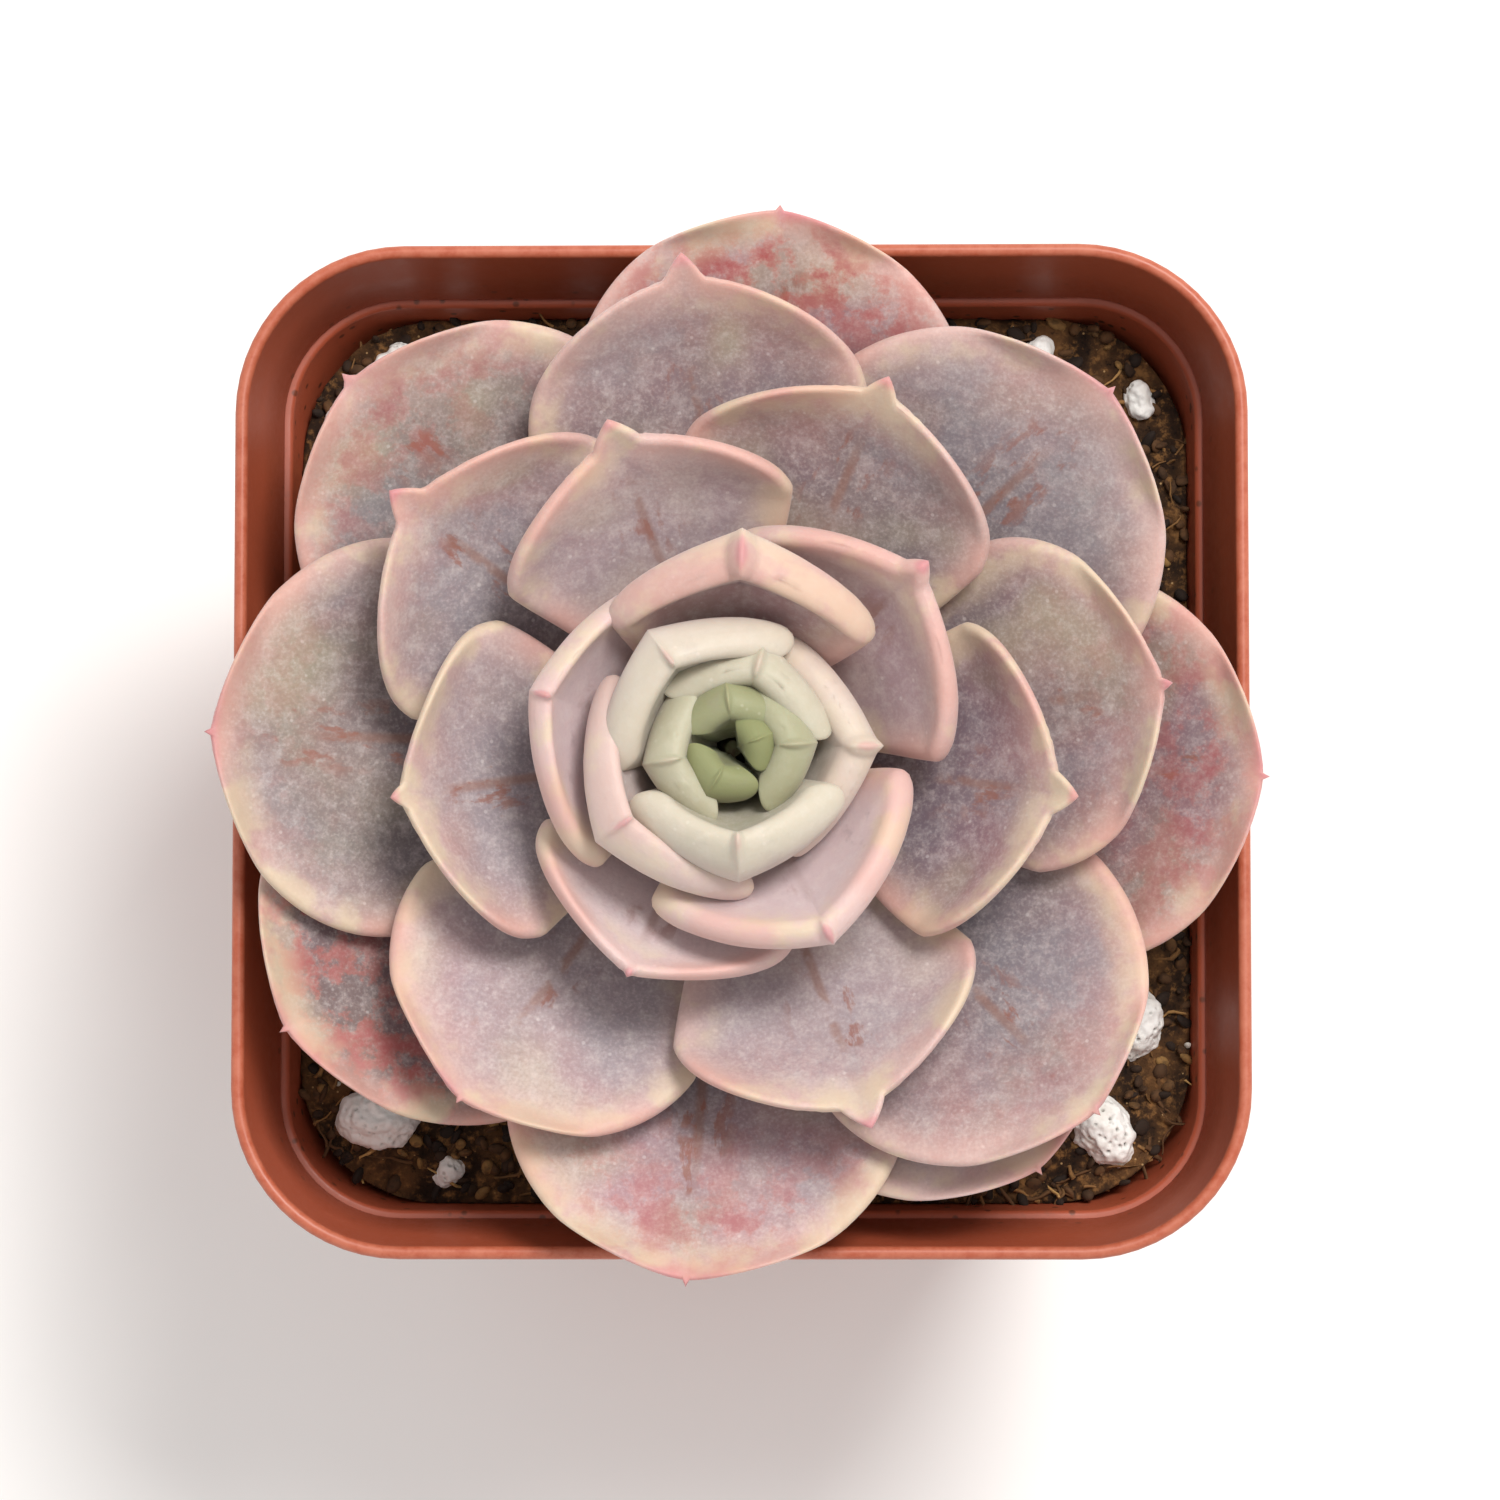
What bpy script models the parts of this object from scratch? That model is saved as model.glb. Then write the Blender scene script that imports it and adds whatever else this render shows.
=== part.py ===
"""A potted succulent: a square nursery pot, its soil, and a rosette of thick leaves on a short stem.

The origin is the middle of the pot's base, +Z is up and +X is right.

The leaves share one family of curves, the levels. Level 1 is the lowest and flattest, and each
higher level lies inside and above the one before. A leaf lies along its own level, so leaves
can't run through each other: where two of them pass, each keeps to its half of the space
between their levels, less a clearance.
"""

import math

import bmesh
import bpy
import numpy as np
from mathutils import Vector, noise

MM = 0.001

# Clearance between pieces that touch
CLEARANCE = 0.35 * MM

# Pot
POT_WIDTH = 63.5 * MM  # over the lip
POT_HEIGHT = 57.0 * MM
POT_BASE_WIDTH = 46.0 * MM
POT_WALL = 1.0 * MM
POT_FLOOR = 1.2 * MM
FLOOR_CHAMFER = 1.2 * MM  # inside, where the wall meets the floor
LIP_WIDTH = 0.9 * MM
COLLAR_HEIGHT = 8.0 * MM
COLLAR_STEP = 1.0 * MM  # how far the collar stands out from the wall below it
COLLAR_FLARE = 1.1 * MM  # how much wider its top is than its foot, on each side
POT_CORNER = 10.6 * MM  # radius of a corner at the lip
BASE_CORNER = 7.5 * MM
DRAIN_HOLE = 5.0 * MM
DRAIN_SPACING = 19.0 * MM
CORNER_STEPS = 8

# Soil
SOIL_DROP = 9.6 * MM  # how far its surface lies below the lip
SOIL_BUMPS = 0.9 * MM
SOIL_RINGS = 9

# Stem
CROWN_X, CROWN_Y = -0.8 * MM, 0.4 * MM  # where it comes out of the soil
LEAN_X, LEAN_Y = 0.035, -0.065  # how far it leans over for each unit of height
STEM_RADIUS = 3.3 * MM
STEM_TIP_RADIUS = 0.5 * MM
STEM_DEPTH = 5.0 * MM  # how much of it stands in the soil
LEVEL_STEP = 0.5 * MM  # height on the stem between one leaf and the next

# Rosette
ROSETTE_RADIUS = 36.0 * MM  # reach of level 1
ROSETTE_RISE = 29.5 * MM  # height of the tips of the heart above the lowest leaf's foot
LEAF_THICKNESS = 2.4 * MM
RIM_CLEARANCE = 0.5 * MM  # between the pot's lip and the leaves that pass over it
SOIL_CLEARANCE = 1.3 * MM  # between the soil and the lowest leaf's foot
LEAF_ROWS = 10

# Each level's reach and height, as shares of the rosette's, and its slopes in degrees where it
# leaves the stem and where it ends
LEVELS = (
    # level, reach, height, first slope, last slope
    (1, 1.000, 0.375, 5, 12),
    (5, 0.985, 0.430, 8, 17),
    (8, 0.960, 0.490, 11, 22),
    (10, 0.905, 0.540, 13, 26),
    (13, 0.815, 0.625, 16, 34),
    (16, 0.735, 0.715, 19, 43),
    (18, 0.665, 0.775, 22, 50),
    (20, 0.520, 0.845, 27, 58),
    (23, 0.390, 0.920, 35, 76),
    (25, 0.275, 0.965, 44, 94),
    (28, 0.170, 0.985, 58, 108),
    (33, 0.025, 0.900, 80, 112),
)

# In the heart the leaves' tips curl inwards: by how much, between which shares of the rosette's
# height, and between which shares of its radius, the outer one first
CURL = 0.42
CURL_HEIGHTS = 0.68, 0.97
CURL_RADII = 0.47, 0.25

# Each leaf, from the lowest to the heart: its direction in degrees, its reach and half-width in
# millimetres, how many levels its tip leans inwards, and how far its point stands out in
# millimetres. The reaches are those of a rosette of LISTED_RADIUS.
LISTED_RADIUS = 36.0 * MM
LEAVES = (
    (306, 32.4, 11.4, 0.0, 0.5),
    (85, 34.0, 13.0, 0.3, 0.4),
    (212, 32.9, 13.2, 0.0, 0.5),
    (357, 33.0, 13.0, 0.3, 0.5),
    (136, 33.6, 12.8, 0.0, 0.8),
    (265, 32.8, 12.8, 0.3, 0.5),
    (43.5, 32.4, 13.2, -0.3, 0.6),
    (178, 32.4, 12.8, 0.0, 0.6),
    (315, 31.4, 11.8, 0.3, 0.5),
    (96, 30.9, 10.8, 0.0, 2.0),
    (232, 27.2, 11.2, 0.0, 0.5),
    (8.5, 27.2, 11.0, 0.2, 0.9),
    (143, 26.6, 10.8, 0.0, 2.2),
    (290, 24.7, 10.2, 0.0, 2.4),
    (67.4, 24.9, 10.6, -0.2, 1.8),
    (188, 21.2, 10.4, 0.3, 1.4),
    (352, 21.4, 10.4, 0.0, 2.2),
    (111, 21.9, 9.8, 0.0, 2.6),
    (245, 15.2, 9.6, 0.6, 0.8),
    (44, 16.4, 10.4, 0.0, 1.8),
    (164, 12.4, 11.0, 1.7, 0.8),
    (297, 13.0, 10.0, 0.3, 1.0),
    (88, 13.4, 9.2, 0.0, 1.8),
    (214, 9.0, 9.6, 1.3, 0.8),
    (1, 7.8, 8.8, 0.3, 1.4),
    (126, 8.2, 8.2, 0.3, 0.8),
    (272, 7.4, 7.6, 0.2, 1.2),
    (74, 5.8, 6.8, 0.3, 0.9),
    (190, 3.9, 5.8, 1.0, 0.8),
    (4, 3.3, 5.2, 0.3, 0.8),
    (97, 2.7, 4.2, 0.2, 0.6),
    (240, 1.5, 3.2, 0.3, 0.5),
    (22, 1.0, 2.6, 0.0, 0.4),
)

# Each chunk of pumice: its place across the soil as shares of the soil's half-width, its size
# across in millimetres, and how much of it stands out of the soil
PUMICE = (
    (-0.95, 0.78, 4.2, 0.40),
    (-0.80, 0.96, 3.2, 0.40),
    (-0.66, 0.97, 2.6, 0.35),
    (-0.36, 0.955, 2.4, 0.30),
    (0.67, 0.96, 2.8, 0.30),
    (0.95, -0.60, 5.6, 0.42),
    (0.84, -0.88, 6.0, 0.42),
    (-0.92, -0.86, 6.0, 0.42),
    (-0.67, -0.96, 3.0, 0.30),
    (0.94, 0.84, 2.6, 0.35),
)

# Terracotta-coloured plastic, damp peat, green stem, powdery leaves and white stone, as colour
# and roughness
FINISHES = {
    "terracotta_plastic": ((0.46, 0.13, 0.07), 0.42),
    "potting_soil": ((0.055, 0.032, 0.020), 0.95),
    "leaf_skin": ((0.50, 0.40, 0.37), 0.55),
    "stem_skin": ((0.24, 0.24, 0.12), 0.60),
    "pumice": ((0.74, 0.72, 0.67), 0.90),
}


def finish(name):
    """The named material, made the first time it is asked for."""
    if name in bpy.data.materials:
        return bpy.data.materials[name]
    colour, roughness = FINISHES[name]
    made = bpy.data.materials.new(name)
    made.use_nodes = True
    shader = made.node_tree.nodes["Principled BSDF"]
    shader.inputs["Base Color"].default_value = (*colour, 1.0)
    shader.inputs["Roughness"].default_value = roughness
    shader.inputs["Metallic"].default_value = 0.0
    return made


def own_finish(name, kind):
    """A copy of a finish under the piece's own name."""
    own = finish(kind).copy()
    own.name = name + "_" + kind
    return own


def add_object(name, bm, kind=None, smooth=True):
    """Turns a bmesh into a linked object, with its own material if it is a piece."""
    mesh = bpy.data.meshes.new(name)
    bmesh.ops.recalc_face_normals(bm, faces=bm.faces)
    bm.to_mesh(mesh)
    bm.free()
    mesh.shade_smooth() if smooth else mesh.shade_flat()
    obj = bpy.data.objects.new(name, mesh)
    bpy.context.scene.collection.objects.link(obj)
    if kind:
        mesh.materials.append(own_finish(name, kind))
    return obj


def hide_cutter(obj):
    obj.hide_render = True
    obj.display_type = "WIRE"


def cut(obj, cutters):
    """Gives the object a Boolean that takes out each cutter."""
    for cutter in cutters:
        modifier = obj.modifiers.new("cut_" + cutter.name, "BOOLEAN")
        modifier.operation = "DIFFERENCE"
        modifier.solver = "EXACT"
        modifier.object = cutter
        hide_cutter(cutter)


def skin(bm, rings):
    """Side walls from each ring of vertices to the next. Every ring has as many."""
    for lower, upper in zip(rings, rings[1:]):
        for i in range(len(lower)):
            j = (i + 1) % len(lower)
            bm.faces.new((lower[i], lower[j], upper[j], upper[i]))


def rounded_square(half, corner, z):
    """The points of a square with round corners, anticlockwise. Its sides have a point halfway."""
    points = []
    for quarter in range(4):
        turn = quarter * math.pi / 2
        side = Vector((math.cos(turn), math.sin(turn)))
        up = Vector((-side.y, side.x))
        points.append(side * half)
        centre = (side + up) * (half - corner)
        for step in range(CORNER_STEPS + 1):
            angle = turn + step / CORNER_STEPS * math.pi / 2
            points.append(centre + Vector((math.cos(angle), math.sin(angle))) * corner)
    return [Vector((p.x, p.y, z)) for p in points]


# ---------------------------------------------------------------- pot

COLLAR_Z = POT_HEIGHT - COLLAR_HEIGHT


def lip_half():
    return POT_WIDTH / 2


def wall_half(z):
    """Outer half-width of the wall below the collar, at a height."""
    top = lip_half() - COLLAR_FLARE - COLLAR_STEP
    return POT_BASE_WIDTH / 2 + (top - POT_BASE_WIDTH / 2) * z / COLLAR_Z


def corner_at(z, half):
    """Radius of a corner at a height, on a surface that stands in from the pot's outside."""
    outside = wall_half(z) if z < COLLAR_Z else lip_half()
    return max(BASE_CORNER + (POT_CORNER - BASE_CORNER) * z / POT_HEIGHT - (outside - half), 2 * MM)


def inner_half(z):
    """Inner half-width of the pot below the collar."""
    return wall_half(z) - POT_WALL


def make_pot():
    edge = 0.45 * MM  # rounding of the lip and the base
    collar_foot = lip_half() - COLLAR_FLARE
    ledge_z = COLLAR_Z + POT_WALL
    collar_inner = collar_foot - POT_WALL
    lip_inner = lip_half() - LIP_WIDTH
    outline = (
        # outside, from the base up: half-width and height
        (POT_BASE_WIDTH / 2 - 1.2 * edge, 0.0),
        (POT_BASE_WIDTH / 2, edge),
        (wall_half(COLLAR_Z), COLLAR_Z),
        (collar_foot - 0.3 * edge, COLLAR_Z),
        (collar_foot, COLLAR_Z + 0.5 * edge),
        (lip_half() - 0.05 * edge, POT_HEIGHT - 0.6 * edge),
        (lip_half() - 0.55 * edge, POT_HEIGHT),
        # inside, from the lip down
        (lip_inner + 0.4 * edge, POT_HEIGHT),
        (lip_inner, POT_HEIGHT - 0.5 * edge),
        (collar_inner, ledge_z),
        (inner_half(ledge_z) + 0.3 * edge, ledge_z),
        (inner_half(COLLAR_Z - edge), COLLAR_Z - edge),
        (inner_half(POT_FLOOR + FLOOR_CHAMFER), POT_FLOOR + FLOOR_CHAMFER),
        (inner_half(POT_FLOOR) - FLOOR_CHAMFER, POT_FLOOR),
    )
    bm = bmesh.new()
    rings = []
    for half, z in outline:
        rings.append([bm.verts.new(p) for p in rounded_square(half, corner_at(z, half), z)])
    skin(bm, rings)
    bm.faces.new(rings[0])
    bm.faces.new(rings[-1])
    pot = add_object("pot", bm, "terracotta_plastic")
    cutters = []
    for i in range(4):
        turn = math.pi / 4 + i * math.pi / 2
        hole = bmesh.new()
        bmesh.ops.create_cone(
            hole,
            cap_ends=True,
            segments=16,
            radius1=DRAIN_HOLE / 2,
            radius2=DRAIN_HOLE / 2,
            depth=6 * POT_WALL,
        )
        cutter = add_object(f"drain_cutter_{i + 1}", hole)
        reach = DRAIN_SPACING / math.sqrt(2)
        cutter.location = (reach * math.cos(turn), reach * math.sin(turn), 0.0)
        cutters.append(cutter)
    cut(pot, cutters)
    return pot


# ---------------------------------------------------------------- levels of the rosette


def soil_z():
    return POT_HEIGHT - SOIL_DROP


def stem_length():
    """Length of the stem that carries leaves."""
    return LEVEL_STEP * (len(LEAVES) + 1)


def stem_radius(height):
    """Radius of the stem at a height above the lowest leaf's foot."""
    share = min(max(height / stem_length(), 0.0), 1.0)
    return STEM_RADIUS + (STEM_TIP_RADIUS - STEM_RADIUS) * share


def level_point(level, share):
    """(radius, height above the lowest foot) of a level, at a share of its length."""
    numbers = [row[0] for row in LEVELS]
    reach, rise, first, last = (
        float(np.interp(level, numbers, [row[i] for row in LEVELS])) for i in (1, 2, 3, 4)
    )
    foot_z = (level - 1) * LEVEL_STEP
    foot = Vector((stem_radius(foot_z) + CLEARANCE, foot_z))
    tip = Vector((reach * ROSETTE_RADIUS, rise * ROSETTE_RISE))
    pull = 0.36 * (tip - foot).length
    first, last = math.radians(first), math.radians(last)
    near = foot + pull * Vector((math.cos(first), math.sin(first)))
    far = tip - pull * Vector((math.cos(last), math.sin(last)))
    rest = 1 - share
    return (
        foot * rest**3 + near * 3 * share * rest**2 + far * 3 * share**2 * rest + tip * share**3
    )


def smooth_step(value, low, high):
    """0 at low and 1 at high, with no kink. low may be over high."""
    t = min(max((value - low) / (high - low), 0.0), 1.0)
    return t * t * (3 - 2 * t)


def curled_in(radius, height):
    """How far a place in the rosette's heart is drawn to the axis. No two places trade sides."""
    high = smooth_step(height / ROSETTE_RISE, *CURL_HEIGHTS)
    return 1 - CURL * high * smooth_step(radius / ROSETTE_RADIUS, *CURL_RADII)


def on_axis(radius, turn, height):
    """The place at this distance and direction from the stem's axis, which leans."""
    return Vector(
        (
            CROWN_X + LEAN_X * height + radius * math.cos(turn),
            CROWN_Y + LEAN_Y * height + radius * math.sin(turn),
            crown_z() + height,
        )
    )


def level_normal(level, share):
    """The direction, across a level, that points up and inwards."""
    ahead = level_point(level, min(share + 0.01, 1.0))
    along = ahead - level_point(level, min(share + 0.01, 1.0) - 0.02)
    return Vector((-along.y, along.x)).normalized()


def level_spacing(level, share):
    """Distance from this level to the next, across them."""
    step = level_point(level + 0.5, share) - level_point(level - 0.5, share)
    return max(step.dot(level_normal(level, share)), 0.1 * MM)


def crown_z():
    """Height of the lowest foot: it clears the soil, and level 1 clears the lip."""
    reach = min(lip_half(), 0.97 * ROSETTE_RADIUS)
    over_lip = 0.0
    for i in range(41):
        point = level_point(1, i / 40)
        if point.x <= reach:
            over_lip = point.y
    for_lip = POT_HEIGHT + RIM_CLEARANCE + 0.35 * LEAF_THICKNESS - over_lip
    return max(for_lip, soil_z() + SOIL_BUMPS + SOIL_CLEARANCE)


# ---------------------------------------------------------------- soil


def soil_height(x, y):
    """Lumps of the surface, lower towards the pot's wall."""
    spot = Vector((x, y, 0.0)) / (6.5 * MM)
    fine = Vector((x, y, 4 * MM)) / (2.6 * MM)
    return soil_z() + SOIL_BUMPS * (0.6 * noise.noise(spot) + 0.3 * noise.noise(fine))


def soil_edge_z():
    """Where the wall gives the soil its outline: soil that rises past the ledge keeps within it."""
    return min(soil_z(), COLLAR_Z - CLEARANCE)


def soil_half():
    return inner_half(soil_edge_z()) - CLEARANCE


def make_soil(stones):
    bm = bmesh.new()
    bottom = POT_FLOOR + CLEARANCE
    foot = bottom + FLOOR_CHAMFER
    rings = []
    for z, inset in ((bottom, FLOOR_CHAMFER), (foot, 0.0), (soil_z() - 1.5 * SOIL_BUMPS, 0.0)):
        half = inner_half(z) - CLEARANCE - inset
        rings.append([bm.verts.new(p) for p in rounded_square(half, corner_at(z, half), z)])
    half, corner = soil_half(), corner_at(soil_edge_z(), soil_half())
    for ring in range(SOIL_RINGS):
        share = 1 - ring / SOIL_RINGS
        points = rounded_square(half * share, corner * share, 0.0)
        rings.append([bm.verts.new((p.x, p.y, soil_height(p.x, p.y))) for p in points])
    skin(bm, rings)
    bm.faces.new(rings[0])
    bm.faces.new(rings[-1])
    bmesh.ops.triangulate(bm, faces=[f for f in bm.faces if len(f.verts) > 4])
    soil = add_object("soil", bm, "potting_soil")
    buried = soil_z() - crown_z()
    socket = bmesh.new()
    rings = []
    for height in (buried - STEM_DEPTH - CLEARANCE, buried + STEM_DEPTH):
        turns = [i * math.pi / 10 for i in range(20)]
        wide = STEM_RADIUS + CLEARANCE
        rings.append([socket.verts.new(on_axis(wide, turn, height)) for turn in turns])
    skin(socket, rings)
    socket.faces.new(rings[0])
    socket.faces.new(rings[1])
    stem_socket = add_object("stem_socket", socket)
    cut(soil, [stem_socket] + stones)
    return soil


def stone_points(index, size, grow):
    """Points on a rough pebble, to be wrapped in a hull."""
    random = np.random.default_rng(40 + index)
    squash = Vector((1.0, float(random.uniform(0.72, 0.9)), float(random.uniform(0.62, 0.8))))
    points = []
    for i in range(30):
        up = 1 - 2 * (i + 0.5) / 30
        turn = i * math.radians(137.508)
        around = math.sqrt(1 - up * up)
        point = Vector((around * math.cos(turn), around * math.sin(turn), up))
        point *= float(random.uniform(0.86, 1.06)) * size / 2
        point = Vector(a * b for a, b in zip(point, squash))
        points.append(point + point.normalized() * grow)
    return points


def make_stone(name, index, x, y, size, standing, grow=0.0, kind=None):
    bm = bmesh.new()
    for point in stone_points(index, size, grow):
        bm.verts.new(point)
    hull = bmesh.ops.convex_hull(bm, input=bm.verts)
    inside = [v for v in hull["geom_interior"] if isinstance(v, bmesh.types.BMVert)]
    bmesh.ops.delete(bm, geom=inside, context="VERTS")
    stone = add_object(name, bm, kind, smooth=False)
    stone.location = (x, y, soil_height(x, y) + size * (standing - 0.42))
    stone.rotation_euler = (0.2 * index, 0.3 * (index % 3), 0.9 * index)
    return stone


def make_pumice():
    """The chunks, and the cutters that make room for them in the soil."""
    cutters = []
    reach = soil_half()
    for index, (x, y, size, standing) in enumerate(PUMICE):
        size *= MM
        # A chunk stays clear of the pot's wall, also where the corner is round.
        room = reach - size / 2 - CLEARANCE
        x, y = max(-room, min(room, x * reach)), max(-room, min(room, y * reach))
        corner = POT_CORNER - 2 * POT_WALL
        overshoot = Vector((max(abs(x) - reach + corner, 0), max(abs(y) - reach + corner, 0)))
        allowed = corner - size / 2 - CLEARANCE
        if overshoot.length > allowed > 0:
            shrink = overshoot * (1 - allowed / overshoot.length)
            x -= math.copysign(shrink.x, x)
            y -= math.copysign(shrink.y, y)
        name = f"pumice_{index + 1:02d}"
        make_stone(name, index, x, y, size, standing, kind="pumice")
        cutters.append(make_stone(name + "_cutter", index, x, y, size, standing, CLEARANCE))
    return cutters


# ---------------------------------------------------------------- stem


def make_stem():
    buried = soil_z() - crown_z()
    outline = [(0.75 * STEM_RADIUS, buried - STEM_DEPTH), (STEM_RADIUS, buried - 0.8 * STEM_DEPTH)]
    for i in range(6):
        height = i / 5 * stem_length()
        outline.append((stem_radius(height), height))
    turns = [i * math.pi / 8 for i in range(16)]
    bm = bmesh.new()
    rings = []
    for radius, height in outline:
        rings.append([bm.verts.new(on_axis(radius, turn, height)) for turn in turns])
    skin(bm, rings)
    bm.faces.new(rings[0])
    bm.faces.new(rings[-1])
    return add_object("stem", bm, "stem_skin")


# ---------------------------------------------------------------- leaves


def tip_share(index):
    """The share of its level that a leaf takes up, from its reach."""
    reach = LEAVES[index][1] * MM * ROSETTE_RADIUS / LISTED_RADIUS
    level = leaf_level(index, 1.0)
    for step in range(60, 100):
        if level_point(level, step / 100).x >= reach:
            return step / 100
    return 1.0


def leaf_level(index, along):
    """The level that a leaf lies on. Its tip may lean to another."""
    return index + 1 + LEAVES[index][3] * max(along - 0.35, 0.0) ** 2 / 0.42


def leaf_length(index):
    """Length of a leaf, near enough for the size of its point."""
    return 1.06 * (LEAVES[index][1] * MM + 0.4 * ROSETTE_RISE * index / len(LEAVES))


def leaf_outline(index, along):
    """Half-width at a share of a leaf's length: narrow foot, broad round end, a point on it."""
    broad, point = LEAVES[index][2] * MM, LEAVES[index][4] * MM
    foot = min(2.2 * MM, 0.5 * broad)
    widest = 0.70
    end = 1 - point / leaf_length(index)
    if along < widest:
        t = along / widest
        body = foot + (broad - foot) * (1.18 * t**1.25 - 0.18 * t**3.5)
    else:
        t = min((along - widest) / (end - widest), 1.0)
        body = broad * (1 - t**2.3) ** 0.55
    behind = (1 - along) * leaf_length(index)
    slope = 0.45 + 0.35 * min(point / (1.5 * MM), 1.3)
    return math.hypot(body, slope * behind * max(1 - behind / (3.2 * point), 0.0))


def half_angle(index, along, share):
    """Angle that a leaf takes up around the stem, to one side of its middle."""
    radius = level_point(leaf_level(index, along), share).x
    return min(leaf_outline(index, along) / radius, math.radians(66))


def lens(across):
    """Thickness across a leaf, as a share of the middle's: full, with round edges."""
    return math.sqrt(max(1 - abs(across) ** 2.4, 0.0))


def room_for(index, along, share, tips):
    """Half the thickness that a leaf may have here, from the leaves that pass it."""
    level = leaf_level(index, along)
    spacing = level_spacing(level, share)
    own = half_angle(index, along, share)
    room = 2 * LEAF_THICKNESS
    for other in range(len(LEAVES)):
        if other == index or share > tips[other] + 0.06:
            continue
        there = min(share / tips[other], 1.0)
        apart = abs(LEAVES[other][0] - LEAVES[index][0]) % 360
        apart = math.radians(min(apart, 360 - apart))
        near = (max(there - 0.06, 0.0), there, min(there + 0.06, 1.0))
        theirs = max(half_angle(other, t, share) for t in near)
        levels = abs(leaf_level(other, there) - level)
        if own + theirs < apart + 0.04:
            continue
        limit = 0.5 * (levels * spacing - CLEARANCE - 0.05 * MM)
        # The narrow places are where one edge lies on the other leaf, so the lens helps there.
        start = max((apart - theirs) / own, 0.0)
        end = min((apart + theirs) / own, 1.0)
        for i in range(7):
            across = start + (end - start) * i / 6
            mine = lens(across)
            its = lens(min(abs(apart - across * own) / theirs, 1.0))
            if mine + its > 0.02:
                room = min(room, max(limit, 0.12 * MM) * 2 / (mine + its))
    return room


def leaf_thickness(index, along, share, tips):
    """Half-thickness in a leaf's middle."""
    # Young leaves are thick to their ends.
    young = min(max((index - 16) / 8, 0.0), 1.0)
    small = min(1.0, 0.60 + 0.40 * LEAVES[index][2] / 9.0)
    slim = 0.28 * (1 - young)
    full = 0.5 * LEAF_THICKNESS * (1 + 0.4 * young) * small
    full *= 1 - slim + slim * math.sin(math.pi * min(along / 0.9, 1.0))
    full *= 1 - (0.62 - 0.50 * young) * max(along - 0.55, 0.0) ** 1.5 / 0.3
    return min(full, room_for(index, along, share, tips))


def leaf_point(index, along, across, side, tips, thickness):
    """A point of a leaf's skin. side is 1 on top, -1 below and 0 at the edge."""
    share = along * tips[index]
    level = leaf_level(index, along)
    middle = level_point(level, share)
    offset = side * thickness * lens(across) * (0.85 if side > 0 else 1.0)
    # At the foot a leaf's faces run along the stem, and further out straight through its skin.
    on_stem = level_point(level + offset / level_spacing(level, share), share)
    through = middle + level_normal(level, share) * offset
    blend = min(along / 0.3, 1.0)
    spot = on_stem * (1 - blend) + through * blend
    turn = math.radians(LEAVES[index][0]) + across * half_angle(index, along, share)
    return on_axis(spot.x * curled_in(spot.x, spot.y), turn, spot.y)


def make_leaf(index, tips):
    bm = bmesh.new()
    rows = LEAF_ROWS if index < 24 else LEAF_ROWS - 3
    columns = 6 if index < 24 else 5
    rings = []
    for row in range(rows):
        along = 1 - (1 - row / (rows - 0.3)) ** 1.7
        thickness = leaf_thickness(index, along, along * tips[index], tips)
        ring = []
        for column in range(columns + 1):
            across = math.sin(math.pi * (column / columns - 0.5))
            side = 1 if 0 < column < columns else 0
            ring.append((across, side))
        for column in range(columns - 1, 0, -1):
            ring.append((math.sin(math.pi * (column / columns - 0.5)), -1))
        rings.append(
            [
                bm.verts.new(leaf_point(index, along, across, side, tips, thickness))
                for across, side in ring
            ]
        )
    skin(bm, rings)
    # The foot's end is closed in strips, so that it keeps the stem's round.
    foot = rings[0]
    for column in range(columns):
        corners = [foot[column], foot[column + 1], foot[-column - 1], foot[-column]]
        bm.faces.new(list(dict.fromkeys(corners)))
    tip = bm.verts.new(leaf_point(index, 1.0, 0.0, 0, tips, 0.0))
    for i in range(len(rings[-1])):
        bm.faces.new((rings[-1][i], rings[-1][(i + 1) % len(rings[-1])], tip))
    return add_object(f"leaf_{index + 1:02d}", bm, "leaf_skin")


def main():
    for obj in list(bpy.data.objects):
        bpy.data.objects.remove(obj, do_unlink=True)
    make_pot()
    make_soil(make_pumice())
    make_stem()
    tips = [tip_share(index) for index in range(len(LEAVES))]
    for index in range(len(LEAVES)):
        make_leaf(index, tips)


main()
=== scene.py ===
"""Looks for a potted succulent: waxy leaves, plastic nursery pot, potting soil and pumice grit.

It is laid out as a Blender add-on and run as a script. Sizes are in metres unless a name says mm.
"""

import math
from collections import namedtuple

import bmesh
import bpy
import numpy as np
from bpy.props import FloatProperty, IntProperty, PointerProperty, StringProperty
from mathutils import Matrix, Vector, noise


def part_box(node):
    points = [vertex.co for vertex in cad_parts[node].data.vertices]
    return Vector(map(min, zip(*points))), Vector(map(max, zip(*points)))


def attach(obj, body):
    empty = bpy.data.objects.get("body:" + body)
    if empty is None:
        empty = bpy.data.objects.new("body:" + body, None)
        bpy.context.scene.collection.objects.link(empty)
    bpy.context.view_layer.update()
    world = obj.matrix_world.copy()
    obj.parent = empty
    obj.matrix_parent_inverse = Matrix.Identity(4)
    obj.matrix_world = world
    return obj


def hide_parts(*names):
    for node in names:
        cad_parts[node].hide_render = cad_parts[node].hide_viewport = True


bl_info = {
    "name": "Potted succulent",
    "version": (1, 0, 0),
    "blender": (4, 5, 0),
    "location": "View3D > Sidebar > Succulent",
    "description": "Builds a rosette succulent in a square nursery pot",
    "category": "Add Mesh",
}

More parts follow.
